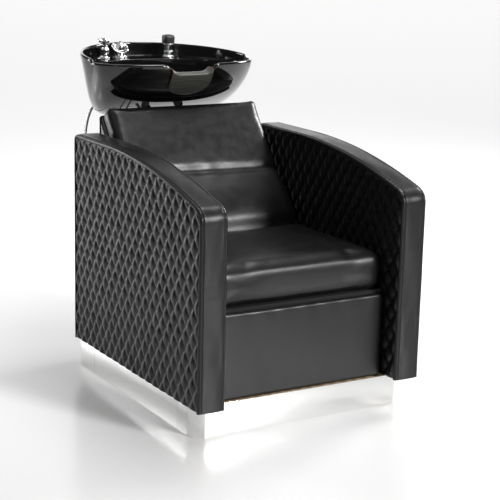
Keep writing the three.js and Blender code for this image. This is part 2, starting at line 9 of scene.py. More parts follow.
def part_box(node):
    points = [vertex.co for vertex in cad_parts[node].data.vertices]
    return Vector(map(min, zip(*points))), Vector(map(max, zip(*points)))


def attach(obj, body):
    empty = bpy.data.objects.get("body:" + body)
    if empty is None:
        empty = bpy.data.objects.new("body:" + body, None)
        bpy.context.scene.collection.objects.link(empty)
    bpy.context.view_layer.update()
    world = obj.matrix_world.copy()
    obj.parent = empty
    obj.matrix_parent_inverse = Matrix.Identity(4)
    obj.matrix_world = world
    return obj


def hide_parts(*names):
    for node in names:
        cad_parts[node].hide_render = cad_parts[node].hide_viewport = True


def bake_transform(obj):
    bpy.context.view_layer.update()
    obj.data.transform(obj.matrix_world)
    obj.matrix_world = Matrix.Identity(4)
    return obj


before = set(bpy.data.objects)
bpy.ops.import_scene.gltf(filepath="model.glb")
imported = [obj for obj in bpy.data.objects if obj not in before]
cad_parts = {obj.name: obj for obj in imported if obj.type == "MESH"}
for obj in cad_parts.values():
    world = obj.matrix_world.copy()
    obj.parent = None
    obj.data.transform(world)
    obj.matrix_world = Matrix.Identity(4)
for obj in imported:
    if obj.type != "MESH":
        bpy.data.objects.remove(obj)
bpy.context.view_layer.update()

MM = 0.001
CHAIR = "chair"
BASIN = "bowl"

# the arms' front faces, which every depth below is measured from
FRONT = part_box("arm_band_left")[0][1]


def at(x, y, z):
    """Point in metres from millimetres across, behind the arms' front, and above the floor."""
    return Vector((x * MM, FRONT + y * MM, z * MM))


# ---------------------------------------------------------------- camera, light, floor
def look_matrix(azimuth, elevation, roll, place):
    a, e, r = (math.radians(v) for v in (azimuth, elevation, roll))
    back = Vector((math.sin(a) * math.cos(e), -math.cos(a) * math.cos(e), math.sin(e)))
    right = Vector((0, 0, 1)).cross(back).normalized()
    up = back.cross(right)
    tilted_right = right * math.cos(r) + up * math.sin(r)
    tilted_up = up * math.cos(r) - right * math.sin(r)
    m = Matrix((tilted_right, tilted_up, back)).transposed().to_4x4()
    m.translation = place
    return m


def make_camera():
    data = bpy.data.cameras.new("camera")
    data.sensor_width = 36.0
    data.lens = 102.7
    camera = bpy.data.objects.new("camera", data)
    bpy.context.collection.objects.link(camera)
    camera.matrix_world = look_matrix(-30.92, 13.17, 1.40, at(-2016.9, -3021.0, 1332.3))
    bpy.context.scene.camera = camera
    bpy.context.scene.view_settings.view_transform = "Standard"


def make_softbox(name, place, target, size, energy):
    light = bpy.data.lights.new(name, "AREA")
    light.shape = "RECTANGLE"
    light.size, light.size_y = size
    light.energy = energy
    ob = bpy.data.objects.new(name, light)
    bpy.context.collection.objects.link(ob)
    ob.location = place
    ob.rotation_euler = (Vector(target) - Vector(place)).to_track_quat("-Z", "Y").to_euler()
    return ob


def make_world():
    """Studio surroundings: bright overhead and behind the object, dark low down on the camera's side."""
    world = bpy.data.worlds.new("studio")
    bpy.context.scene.world = world
    world.use_nodes = True
    nodes, links = world.node_tree.nodes, world.node_tree.links
    coord = nodes.new("ShaderNodeTexCoord")

    def facing(direction, low, high, most):
        dot = nodes.new("ShaderNodeVectorMath")
        dot.operation = "DOT_PRODUCT"
        dot.inputs[1].default_value = direction
        links.new(coord.outputs["Generated"], dot.inputs[0])
        part = nodes.new("ShaderNodeMapRange")
        part.interpolation_type = "SMOOTHSTEP"
        for key, value in (("From Min", low), ("From Max", high), ("To Max", most)):
            part.inputs[key].default_value = value
        links.new(dot.outputs["Value"], part.inputs["Value"])
        return part.outputs["Result"]

    overhead = facing((0, 0, 1), 0.35, 0.95, 0.32)
    behind = facing((0.51, 0.86, 0), 0.80, 0.97, 1.35)
    total = nodes.new("ShaderNodeMath")
    total.operation = "ADD"
    links.new(overhead, total.inputs[0])
    links.new(behind, total.inputs[1])
    strength = nodes.new("ShaderNodeMath")
    strength.operation = "ADD"
    strength.inputs[1].default_value = 0.05
    links.new(total.outputs[0], strength.inputs[0])
    links.new(strength.outputs[0], nodes["Background"].inputs["Strength"])
    nodes["Background"].inputs["Color"].default_value = (1, 1, 1, 1)


def make_lights():
    make_world()
    middle = (0, 0, 0.45)
    make_softbox("key_right", (3.4, 0.5, 2.5), middle, (1.1, 1.1), 105)
    make_softbox("top", (0.4, -0.3, 3.4), middle, (2.2, 0.9), 42)
    make_softbox("strip_rear_left", (-1.75, 2.7, 0.5), (-0.35, 0, 0.4), (1.4, 0.3), 12)
    make_softbox("strip_rear_high", (-1.7, 3.0, 1.9), (0.2, 0, 0.5), (0.9, 0.4), 22)
    make_softbox("strip_front_left", (-3.0, -1.6, 2.4), middle, (0.4, 1.4), 5)
    make_softbox("fill_front", (0.6, -4.0, 1.0), (0, 0, 0.2), (3.0, 0.8), 4)
    sun = bpy.data.lights.new("window", "SUN")
    sun.energy = 2.55
    sun.angle = math.radians(12)
    ob = bpy.data.objects.new("window", sun)
    bpy.context.collection.objects.link(ob)
    ob.rotation_euler = Vector((0.36, -0.84, 0.42)).to_track_quat("Z", "Y").to_euler()


def make_floor():
    size = 60.0
    mesh = bpy.data.meshes.new("floor")
    mesh.from_pydata([(-size, -size, 0), (size, -size, 0), (size, size, 0), (-size, size, 0)], [],
                     [(0, 1, 2, 3)])
    floor = bpy.data.objects.new("floor", mesh)
    bpy.context.collection.objects.link(floor)
    mat, shader = plain_material("floor_paint", (0.93, 0.93, 0.93), 0.22)
    shader.inputs["Specular IOR Level"].default_value = 0.6
    mesh.materials.append(mat)


# ---------------------------------------------------------------- materials
def plain_material(name, colour, roughness, metallic=0.0):
    mat = bpy.data.materials.new(name)
    mat.use_nodes = True
    shader = mat.node_tree.nodes["Principled BSDF"]
    shader.inputs["Base Color"].default_value = (*colour, 1)
    shader.inputs["Roughness"].default_value = roughness
    shader.inputs["Metallic"].default_value = metallic
    return mat, shader


def link(mat, source, target):
    mat.node_tree.links.new(source, target)


def node(mat, kind, **values):
    made = mat.node_tree.nodes.new(kind)
    for key, value in values.items():
        if key in made.inputs:
            made.inputs[key].default_value = value
        else:
            setattr(made, key, value)
    return made


def texture_place(mat, scale=(1, 1, 1)):
    coord = node(mat, "ShaderNodeTexCoord")
    mapping = node(mat, "ShaderNodeMapping")
    mapping.inputs["Scale"].default_value = scale
    link(mat, coord.outputs["Object"], mapping.inputs["Vector"])
    return mapping.outputs["Vector"]


def textured(mat, kind, place, **values):
    made = node(mat, kind, **values)
    link(mat, place, made.inputs["Vector"])
    return made


def noise(mat, place, scale, detail):
    return textured(mat, "ShaderNodeTexNoise", place, Scale=scale, Detail=detail).outputs["Fac"]


def ramp(mat, source, low, high, from_value=0.0, to_value=1.0):
    made = node(mat, "ShaderNodeMapRange")
    made.inputs["From Min"].default_value = low
    made.inputs["From Max"].default_value = high
    made.inputs["To Min"].default_value = from_value
    made.inputs["To Max"].default_value = to_value
    link(mat, source, made.inputs["Value"])
    return made.outputs["Result"]


def blend_colours(mat, factor, first, second):
    made = node(mat, "ShaderNodeMix", data_type="RGBA")
    made.inputs[6].default_value = (*first, 1)
    made.inputs[7].default_value = (*second, 1)
    link(mat, factor, made.inputs[0])
    return made.outputs[2]


def arithmetic(mat, operation, first, second):
    made = node(mat, "ShaderNodeMath", operation=operation)
    link(mat, first, made.inputs[0])
    link(mat, second, made.inputs[1])
    return made.outputs[0]


def multiply(mat, first, second):
    return arithmetic(mat, "MULTIPLY", first, second)


def add_values(mat, first, second):
    return arithmetic(mat, "ADD", first, second)


def bump(mat, shader, height, distance, strength=1.0):
    made = node(mat, "ShaderNodeBump")
    made.inputs["Strength"].default_value = strength
    made.inputs["Distance"].default_value = distance
    link(mat, height, made.inputs["Height"])
    link(mat, made.outputs["Normal"], shader.inputs["Normal"])


def leather_material(name, colour=(0.0045, 0.0045, 0.0048), worn=(0.008, 0.008, 0.0083)):
    """Black upholstery leather: pebbled grain, fine pores, slow colour drift and paler rubbed crests."""
    mat, shader = plain_material(name, colour, 0.42)
    place = texture_place(mat)
    pebble = textured(mat, "ShaderNodeTexVoronoi", place, Scale=620.0)
    pebble.feature = "SMOOTH_F1"
    fine = noise(mat, place, 1500.0, 3.0)
    drift = noise(mat, place, 7.0, 4.0)
    blotch = noise(mat, place, 38.0, 5.0)
    geometry = node(mat, "ShaderNodeNewGeometry")
    crest = ramp(mat, geometry.outputs["Pointiness"], 0.5, 0.56)
    patch = multiply(mat, crest, ramp(mat, blotch, 0.35, 0.7))
    shade = add_values(mat, multiply(mat, ramp(mat, drift, 0.3, 0.7, 0, 0.35),
                                     ramp(mat, blotch, 0.3, 0.7, 0.4, 1.0)), patch)
    link(mat, blend_colours(mat, shade, colour, worn), shader.inputs["Base Color"])
    link(mat, ramp(mat, blotch, 0.3, 0.7, 0.28, 0.37), shader.inputs["Roughness"])
    grain = add_values(mat, ramp(mat, pebble.outputs["Distance"], 0.0, 0.8, 1.0, 0.0),
                       multiply(mat, fine, ramp(mat, drift, 0, 1, 0.2, 0.5)))
    bump(mat, shader, grain, 0.00022, 0.55)
    shader.inputs["Specular IOR Level"].default_value = 0.42
    shader.inputs["Sheen Weight"].default_value = 0.006
    shader.inputs["Sheen Roughness"].default_value = 0.4
    return mat


def thread_material():
    mat, shader = plain_material("thread", (0.03, 0.03, 0.031), 0.6)
    place = texture_place(mat)
    twist = textured(mat, "ShaderNodeTexWave", place, Scale=900.0, Distortion=2.0)
    bump(mat, shader, twist.outputs["Fac"], 0.0001)
    link(mat, ramp(mat, twist.outputs["Fac"], 0, 1, 0.5, 0.75), shader.inputs["Roughness"])
    return mat


def metal_material(name, colour, roughness, brushed=(1, 1, 1), scratch=0.05):
    """Plated or polished metal with faint smears, and a brushing direction where its scale is stretched."""
    mat, shader = plain_material(name, colour, roughness, 1.0)
    place = texture_place(mat, brushed)
    lines = noise(mat, place, 260.0, 6.0)
    smear = noise(mat, texture_place(mat), 14.0, 3.0)
    uneven = multiply(mat, ramp(mat, lines, 0.3, 0.7, 0.4, 1.0),
                      ramp(mat, smear, 0.3, 0.7, 0.6, 1.4))
    link(mat, ramp(mat, uneven, 0.2, 1.4, roughness, roughness + scratch), shader.inputs["Roughness"])
    bump(mat, shader, lines, 0.00002, 0.25)
    return mat


def glaze_material():
    """Deep gloss black with a faint orange-peel surface under a clear coat."""
    mat, shader = plain_material("basin_gloss", (0.0045, 0.0045, 0.005), 0.12)
    place = texture_place(mat)
    peel = noise(mat, place, 42.0, 2.0)
    dust = noise(mat, place, 9.0, 5.0)
    bump(mat, shader, peel, 0.0002, 0.12)
    link(mat, ramp(mat, dust, 0.35, 0.75, 0.05, 0.11), shader.inputs["Roughness"])
    shader.inputs["Specular IOR Level"].default_value = 0.5
    shader.inputs["Coat Weight"].default_value = 0.35
    shader.inputs["Coat Roughness"].default_value = 0.03
    return mat


def gel_material():
    """Grey gel moulded with a close grid of raised dots."""
    mat, shader = plain_material("gel", (0.05, 0.05, 0.042), 0.42)
    place = texture_place(mat)
    dots = textured(mat, "ShaderNodeTexVoronoi", place, Scale=215.0, Randomness=0.0)
    cloud = noise(mat, place, 30.0, 3.0)
    dot = ramp(mat, dots.outputs["Distance"], 0.2, 0.42, 1.0, 0.0)
    shade = multiply(mat, dot, ramp(mat, cloud, 0.2, 0.8, 0.6, 1.0))
    link(mat, blend_colours(mat, shade, (0.040, 0.040, 0.034), (0.115, 0.115, 0.10)),
         shader.inputs["Base Color"])
    bump(mat, shader, dot, 0.0008, 0.8)
    shader.inputs["Subsurface Weight"].default_value = 0.08
    return mat


def moulded_material(name, colour, roughness, grain=900.0, depth=0.00008):
    mat, shader = plain_material(name, colour, roughness)
    place = texture_place(mat)
    speckle = noise(mat, place, grain, 4.0)
    wear = noise(mat, place, 22.0, 4.0)
    link(mat, ramp(mat, wear, 0.3, 0.7, roughness, roughness + 0.1), shader.inputs["Roughness"])
    paler = tuple(min(1, c * 1.35 + 0.004) for c in colour)
    link(mat, blend_colours(mat, wear, colour, paler), shader.inputs["Base Color"])
    bump(mat, shader, speckle, depth, 0.5)
    return mat


def plywood_material():
    mat, shader = plain_material("plywood", (0.52, 0.37, 0.22), 0.6)
    place = texture_place(mat, (1, 1, 14))
    plies = textured(mat, "ShaderNodeTexWave", place, Scale=9.0, Distortion=3.0, Detail=3.0)
    link(mat, 
        blend_colours(mat, plies.outputs["Fac"], (0.40, 0.27, 0.15), (0.60, 0.45, 0.28)),
        shader.inputs["Base Color"])
    bump(mat, shader, plies.outputs["Fac"], 0.0002, 0.4)
    return mat


LEATHER = leather_material("leather")
QUILT = leather_material("quilted_leather", (0.005, 0.005, 0.0052), (0.010, 0.010, 0.0103))
THREAD = thread_material()
STAINLESS = metal_material("stainless", (0.83, 0.83, 0.82), 0.10, (0.02, 0.02, 3), 0.06)
CHROME = metal_material("chrome", (0.88, 0.88, 0.89), 0.035, (1, 1, 1), 0.02)
HOSE_METAL = metal_material("hose_metal", (0.80, 0.80, 0.81), 0.12, (1, 1, 1), 0.05)
BRAID = moulded_material("braid", (0.42, 0.42, 0.43), 0.35, 2600.0, 0.0003)
GLAZE = glaze_material()
GEL = gel_material()
POWDER = moulded_material("powder_coat", (0.018, 0.018, 0.019), 0.38, 1400.0, 0.0001)
PLASTIC = moulded_material("black_plastic", (0.017, 0.017, 0.017), 0.34)
RUBBER = moulded_material("rubber", (0.022, 0.022, 0.022), 0.62, 700.0, 0.00015)
BRASS = metal_material("brass", (0.72, 0.55, 0.27), 0.22, (1, 1, 1), 0.1)
PLYWOOD = plywood_material()
LINING = moulded_material("black_lining", (0.010, 0.010, 0.010), 0.8, 1800.0, 0.0002)


# ---------------------------------------------------------------- mesh helpers
def mesh_object(name, points, faces, material, body=CHAIR, crease=None):
    """Smooth-shaded mesh in the row frame, riding on a body; crease is the angle that stays sharp."""
    mesh = bpy.data.meshes.new(name)
    mesh.from_pydata([tuple(p) for p in points], [], faces)
    mesh.materials.append(material)
    mesh.shade_smooth()
    if crease:
        mesh.set_sharp_from_angle(angle=math.radians(crease))
    ob = bpy.data.objects.new(name, mesh)
    bpy.context.collection.objects.link(ob)
    if body:
        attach(ob, body)
    return ob


def modifier(ob, kind, **values):
    made = ob.modifiers.new(kind.lower(), kind)
    for key, value in values.items():
        setattr(made, key, value)
    return made


def apply_modifiers(ob):
    graph = bpy.context.evaluated_depsgraph_get()
    mesh = bpy.data.meshes.new_from_object(ob.evaluated_get(graph), depsgraph=graph)
    ob.modifiers.clear()
    ob.data = mesh


def ring_faces(rings, count, close_ends=False, loop=False):
    """Quads between rings of count points, and polygons over the first and last ring if asked."""
    faces = []
    for k in range(rings if loop else rings - 1):
        low, high = k * count, (k + 1) % rings * count
        faces += [(low + i, low + (i + 1) % count, high + (i + 1) % count, high + i)
                  for i in range(count)]
    if close_ends:
        last = (rings - 1) * count
        faces.append(tuple(reversed(range(count))))
        faces.append(tuple(range(last, last + count)))
    return faces


def loft(name, rings, material, body=CHAIR, close_ends=True, loop=False, crease=None):
    points = [p for ring in rings for p in ring]
    faces = ring_faces(len(rings), len(rings[0]), close_ends and not loop, loop)
    return mesh_object(name, points, faces, material, body, crease)


def rounded(points, radius, steps=4, closed=True):
    """Outline with each corner rounded; a point on the turning axis stays where it is."""
    out = []
    last = len(points) - 1
    for i, point in enumerate(points):
        p = Vector(point)
        if not closed and i in (0, last):
            out.append(p)
            continue
        before = Vector(points[i - 1]) - p
        after = Vector(points[(i + 1) % len(points)]) - p
        reach = min(radius, 0.45 * before.length, 0.45 * after.length)
        start = p + before.normalized() * reach
        end = p + after.normalized() * reach
        for k in range(steps + 1):
            t = k / steps
            out.append(start * (1 - t) ** 2 + p * 2 * t * (1 - t) + end * t * t)
    return out


def lathe(name, profile, axis_xy, material, body=CHAIR, radius=0.8, segments=72, closed=False):
    """Turned piece from (radius, height) points in millimetres about an upright axis."""
    outline = rounded(profile, radius, closed=closed)
    turns = [(math.cos(2 * math.pi * i / segments), math.sin(2 * math.pi * i / segments))
             for i in range(segments)]
    rings = [[at(axis_xy[0] + r * c, axis_xy[1] + r * s, z) for c, s in turns]
             for r, z in ((max(p[0], 0.02), p[1]) for p in outline)]
    return loft(name, rings, material, body, not closed, closed, crease=60)


def even(line, spacing):
    """The same line with evenly spaced points."""
    along = np.concatenate([[0], np.cumsum(np.linalg.norm(np.diff(line, axis=0), axis=1))])
    samples = np.linspace(0, along[-1], max(3, round(along[-1] / spacing)) + 1)
    return np.stack([np.interp(samples, along, line[:, i]) for i in range(line.shape[1])], 1), samples


def route(points, spacing):
    """Even samples along the smooth line through points, all in millimetres."""
    p = [Vector(q) for q in points]
    p = [2 * p[0] - p[1]] + p + [2 * p[-1] - p[-2]]
    dense = []
    for a, b, c, d in zip(p, p[1:], p[2:], p[3:]):
        t1 = (b - a).length ** 0.5
        t2 = t1 + (c - b).length ** 0.5
        t3 = t2 + (d - c).length ** 0.5
        for k in range(48):
            t = t1 + (t2 - t1) * k / 48
            a1 = a * (t1 - t) / t1 + b * t / t1
            a2 = b * (t2 - t) / (t2 - t1) + c * (t - t1) / (t2 - t1)
            a3 = c * (t3 - t) / (t3 - t2) + d * (t - t2) / (t3 - t2)
            b1 = a1 * (t2 - t) / t2 + a2 * t / t2
            b2 = a2 * (t3 - t) / (t3 - t1) + a3 * (t - t1) / (t3 - t1)
            dense.append(b1 * (t2 - t) / (t2 - t1) + b2 * (t - t1) / (t2 - t1))
    dense.append(p[-2])
    samples, along = even(np.array(dense), spacing)
    return samples, along[-1]


def sweep(name, line, radii, material, body=CHAIR, sides=16):
    """Round tube along a line in millimetres, its radius given at each sample."""
    tangents = np.gradient(line, axis=0)
    tangents /= np.linalg.norm(tangents, axis=1)[:, None]
    side = np.cross(tangents[0], (0.31, 0.87, 0.2))
    rings = []
    for centre, tangent, radius in zip(line, tangents, radii):
        side = side - tangent * side.dot(tangent)
        side /= np.linalg.norm(side)
        other = np.cross(tangent, side)
        rings.append([at(*(centre + radius * (side * math.cos(a) + other * math.sin(a))))
                      for a in (2 * math.pi * i / sides for i in range(sides))])
    return loft(name, rings, material, body)


def stand_for(replaced):
    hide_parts(replaced)


# ---------------------------------------------------------------- hoses
DRAIN_Y = 965
MIXER = (-45, 1104)
LOOP_RADIUS, LOOP_Z, LOOP_SAMPLES = 25, 917, 96
SPRAY = (112, 1076)
VALVE = (-105, 1086)
DECK = 885
INLET_Z = 330
WALL_REAR = 825


def crimp(name, line, from_start, radius, length, material, body):
    """Plain collar squeezed round one end of a hose."""
    ends = line if from_start else line[::-1]
    along = np.linalg.norm(ends - ends[0], axis=1)
    part = ends[along <= length]
    radii = [radius * (0.93 if i in (0, len(part) - 1) else 1) for i in range(len(part))]
    sweep(name, part, radii, material, body, 24)


def supply_hose(name, x_top, x_low, bends):
    top = (MIXER[0] + x_top, MIXER[1] - 5)
    points = [(*top, 845.6), (*top, 828), *bends, (x_low, 862, INLET_Z + 2), (x_low, 848, INLET_Z),
              (x_low, WALL_REAR + 12.4, INLET_Z)]
    line, length = route(points, 4)
    hose = sweep(name, line, [4.5] * len(line), BRAID, None)
    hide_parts(name)
    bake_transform(hose)
    crimp(name + "_crimp_low", line, False, 5.6, 16, CHROME, CHAIR)
    return hose


def waste_hose():
    points = [(0, DRAIN_Y, 659.6), (0, DRAIN_Y, 630), (6, 961, 560), (28, 945, 460), (64, 925, 375),
              (86, 896, 315), (90, 868, 300), (90, WALL_REAR + 18.6, 300)]
    line, length = route(points, 1.6)
    ribs = [17 - 1.3 * (i % 4 in (0, 1)) * (8 < i < len(line) - 9) for i in range(len(line))]
    hose = sweep("waste_hose", line, ribs, PLASTIC, None, 32)
    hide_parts("waste_hose")
    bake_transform(hose)


def shower_hose():
    top = (MIXER[0], MIXER[1] + 7)
    points = [(*top, 845.6), (top[0] - 1, top[1] - 1, 828), (-64, 1101, 808), (-88, 1082, 784),
              (-118, 1072, 762), (-152, 1078, 734), (-169, 1079, 695), (-177, 1080, 645),
              (-180, 1079, 580), (-165, 1076, 500), (-110, 1072, 440), (-30, 1068, 420),
              (50, 1066, 450), (98, 1068, 530), (112, 1071, 630), (112, 1074, 730),
              (112, 1076, 800), (*SPRAY, 831.6)]
    line, length = route(points, 0.85)
    ribs = [5.5 - (0, 0.15, 0.75, 0.15)[i % 4] for i in range(len(line))]
    hose = sweep("shower_hose", line, ribs, HOSE_METAL, None, 20)
    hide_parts("shower_hose")
    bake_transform(hose)


def make_hoses():
    shower_hose()
    supply_hose("hot_hose", -7, -100, [(-54, 1086, 795), (-60, 1074, 745), (-75, 1040, 640),
                                       (-94, 960, 480), (-100, 895, 365)])
    supply_hose("cold_hose", 7, -60, [(-38, 1086, 795), (-42, 1074, 745), (-48, 1040, 640),
                                      (-56, 960, 480), (-60, 895, 365)])
    waste_hose()


# ---------------------------------------------------------------- basin
HALF_WIDTH, REAR_LENGTH, FRONT_LENGTH, CENTRE_Y = 268, 325, 150, 845
BOTTOM, RIM_FRONT, RIM_REAR, WALL = 745, 903, 928, 11
DECK_FRONT, BASIN_FLOOR = 1040, 762
NOTCH_HALF, NOTCH_DEPTH, NOTCH_POWER = 76, 36, 7
RIM_RISE_FROM, RIM_RISE_OVER = 800, 370
SKIRT_DROP = 27        # the skin at the sides and rear hangs this far below the basin's own underside
SKIRT_FRONT = 0.55     # share of that drop across the front
ANGLES = [2 * math.pi * i / 288 for i in range(288)]


def rim_z(y):
    return RIM_FRONT + (RIM_REAR - RIM_FRONT) * math.sqrt(min(max((y - RIM_RISE_FROM) / RIM_RISE_OVER, 0), 1))


def notch_drop(x):
    return NOTCH_DEPTH * math.exp(-(abs(x) / NOTCH_HALF) ** NOTCH_POWER)


def wall_profile(t, skirt=0.0):
    """How the plan shrinks and moves back with depth; the skirt round the support is fuller low down."""
    t = min(max(t, 0), 1)
    wide = (1 - t ** 1.1) ** (0.118 + 0.032 * skirt)
    return wide, wide ** 2.2, (100 + 25 * skirt) * t ** 2.3


def plan_point(angle, half, rear, front):
    c, s = math.cos(angle), math.sin(angle)
    power, length = (1.9, rear) if s > 0 else (2.3, front)
    reach = ((abs(c) / half) ** power + (abs(s) / length) ** power) ** (-1 / power)
    return reach * c, reach * s


def skin_point(angle, t, inset=0):
    skirt = SKIRT_FRONT + (1 - SKIRT_FRONT) * smooth_step((math.sin(angle) + 0.6) / 0.5)
    wide, long, back = wall_profile(t, skirt)
    rim_y = plan_point(angle, HALF_WIDTH, REAR_LENGTH, FRONT_LENGTH)[1]
    x, y = plan_point(angle, HALF_WIDTH * wide - inset, REAR_LENGTH * long - inset,
                      FRONT_LENGTH * long - inset)
    low = BOTTOM + inset - SKIRT_DROP * skirt
    return x, CENTRE_Y + back + y, low + (rim_z(CENTRE_Y + rim_y) - low) * (1 - t)


def lip_z(angle):
    """Height of the rim at that angle, lower across the neck notch."""
    x, y = plan_point(angle, HALF_WIDTH, REAR_LENGTH, FRONT_LENGTH)
    top = rim_z(CENTRE_Y + y)
    return min(top, RIM_FRONT - notch_drop(x)) if y < 0 else top


def basin_point(angle, z, scale=1.0):
    wide, long, back = wall_profile((RIM_FRONT - z) / (RIM_FRONT - BOTTOM))
    x, y = plan_point(angle, (HALF_WIDTH * wide - WALL - 6) * scale,
                      (DECK_FRONT - CENTRE_Y) * (0.35 + 0.65 * long) * scale,
                      (FRONT_LENGTH * long - WALL) * scale)
    return x, CENTRE_Y + back + y, z


def recess_point(angle, inset, z):
    x, y = plan_point(angle, HALF_WIDTH - inset, REAR_LENGTH - inset, FRONT_LENGTH - inset)
    return x, CENTRE_Y + y, z


def front_wall_y(x, z):
    wide, long, back = wall_profile((RIM_FRONT - z) / (RIM_FRONT - BOTTOM))
    across = min((abs(x) / (HALF_WIDTH * wide)) ** 2.3, 1)
    return CENTRE_Y + back - FRONT_LENGTH * long * (1 - across) ** (1 / 2.3)


def bowl_column(angle):
    """Section of the basin at one angle: up the skin, over the lip, across the deck, down to the drain."""
    roll = 6.0
    lip = lip_z(angle)
    low, high = skin_point(angle, 0.999)[2], skin_point(angle, 0)[2]
    top_t = 1 - (lip - roll - low) / (high - low)
    column = [skin_point(angle, top_t + (0.996 - top_t) * (1 - f) ** 1.4)
              for f in (i / 30 for i in range(31))]
    outer = Vector(column[-1])
    deck = min(DECK, lip - roll - 2)
    inner = Vector(recess_point(angle, WALL, lip - roll))
    if deck < DECK:
        inner = inner.lerp(Vector(basin_point(angle, deck, 1.0)), min((DECK - deck) / 6, 1))
        inner.z = lip - roll
    for i in range(1, 13):
        swing = math.pi * i / 12
        p = outer.lerp(inner, (1 - math.cos(swing)) / 2)
        column.append((p.x, p.y, lip - roll + roll * math.sin(swing)))
    corner = Vector(recess_point(angle, WALL + 4, deck))
    if deck < DECK:
        corner = corner.lerp(Vector(basin_point(angle, deck)), min((DECK - deck) / 6, 1))
        corner.z = deck
    edge = Vector(basin_point(angle, deck, 1.0))
    for f in (0.25, 0.5, 0.7, 0.84, 0.94):
        p = inner.lerp(corner, f)
        column.append(tuple(p))
    for f in (0.04, 0.2, 0.4, 0.6, 0.8, 0.94, 0.985):
        p = corner.lerp(edge, f)
        column.append((p.x, p.y, deck))
    span = deck - BASIN_FLOOR
    for f in (0.006, 0.02, 0.05, 0.1, 0.2, 0.32, 0.44, 0.56, 0.66, 0.75, 0.83):
        column.append(basin_point(angle, deck - span * f))
    turn = BASIN_FLOOR + span * 0.17
    for i in range(1, 10):
        swing = math.pi / 2 * i / 9
        column.append(basin_point(angle, BASIN_FLOOR + (turn - BASIN_FLOOR) * (1 - math.sin(swing)),
                                  1 - 0.22 * (1 - math.cos(swing))))
    flat = Vector(basin_point(angle, BASIN_FLOOR, 0.78))
    drain = Vector((38 * math.cos(angle), DRAIN_Y + 38 * math.sin(angle), BASIN_FLOOR))
    column += [tuple(flat.lerp(drain, f)) for f in (0.2, 0.45, 0.7, 1.0)]
    for radius, z in ((24, BASIN_FLOOR), (24, 757), (24, BOTTOM + 0.6)):
        column.append((radius * math.cos(angle), DRAIN_Y + radius * math.sin(angle), z))
    return column


def cutter_box(name, x, y, z):
    corners = [at(a, b, c) for c in z for b in y for a in x]
    faces = [(0, 2, 3, 1), (4, 5, 7, 6), (0, 1, 5, 4), (2, 6, 7, 3), (0, 4, 6, 2), (1, 3, 7, 5)]
    return mesh_object(name, corners, faces, GLAZE, None)


def cut_away(ob, tool, operation="DIFFERENCE"):
    modifier(ob, "BOOLEAN", operation=operation, object=tool, solver="EXACT")
    apply_modifiers(ob)
    bpy.data.objects.remove(tool)


def make_bowl():
    columns = [bowl_column(a) for a in ANGLES]
    rings = [[at(*column[k]) for column in columns] for k in range(len(columns[0]))]
    bowl = loft("basin_shell", rings, GLAZE, None, close_ends=False, loop=True)
    depths = [0.97, 0.92, 0.84, 0.73, 0.6, 0.45, 0.3, 0.15]
    pocket = loft("pocket", [[at(*skin_point(a, t, WALL)) for a in ANGLES[::3]] for t in depths], GLAZE, None)
    cut_away(pocket, cutter_box("under_deck", (-145, 145), (DECK_FRONT + 14, 1300), (700, DECK - 12)),
             "INTERSECT")
    cut_away(bowl, pocket)
    cut_away(bowl, cutter_box("hatch", (-125, 125), (DECK_FRONT + 18, 1096), (700, 806)))
    bowl.data.shade_smooth()
    bowl.data.set_sharp_from_angle(angle=math.radians(38))
    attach(bowl, BASIN)
    stand_for("bowl")


def make_neck_rest():
    half, thick, clear = 68, 9, 2.5
    rings = []
    for x in np.linspace(-half, half, 49):
        top = RIM_FRONT - notch_drop(x)
        flap = 62 - 18 * (x / half) ** 2
        outside = [(front_wall_y(x, top - flap * f) - clear, top - flap * f) for f in (0, 0.33, 0.66, 1)]
        inside = front_wall_y(x, top) + WALL + clear + 5 + 6 * (x / half) ** 2
        hook_y = front_wall_y(x, top - 14) + WALL + clear + 5 + 6 * (x / half) ** 2
        hook = top - 14
        skin = [(y - thick * 0.8, z + thick * 0.3) for y, z in outside]
        crown = top + clear + thick
        section = [skin[-1], *outside[::-1], (outside[0][0], top + clear), (inside, top + clear),
                   (hook_y, hook), (hook_y + thick - 2, hook), (inside + thick - 2, crown - thick * 0.3),
                   (inside - 6, crown), (skin[0][0] + 5, crown), *skin[:-1]]
        rings.append([at(x, y, z) for y, z in rounded(section, 4.5)])
    rest = loft("neck_rest_skin", rings, GEL, BASIN, crease=70)
    modifier(rest, "BEVEL", width=0.0022, segments=4, limit_method="ANGLE", angle_limit=math.radians(60))
    stand_for("neck_rest")


# ---------------------------------------------------------------- taps, sprayer, drain
def turned(node_name, profile, where, material, body, radius=0.8, closed=False):
    piece = lathe(node_name + "_turned", profile, where, material, body, radius, closed=closed)
    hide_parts(node_name)
    return piece


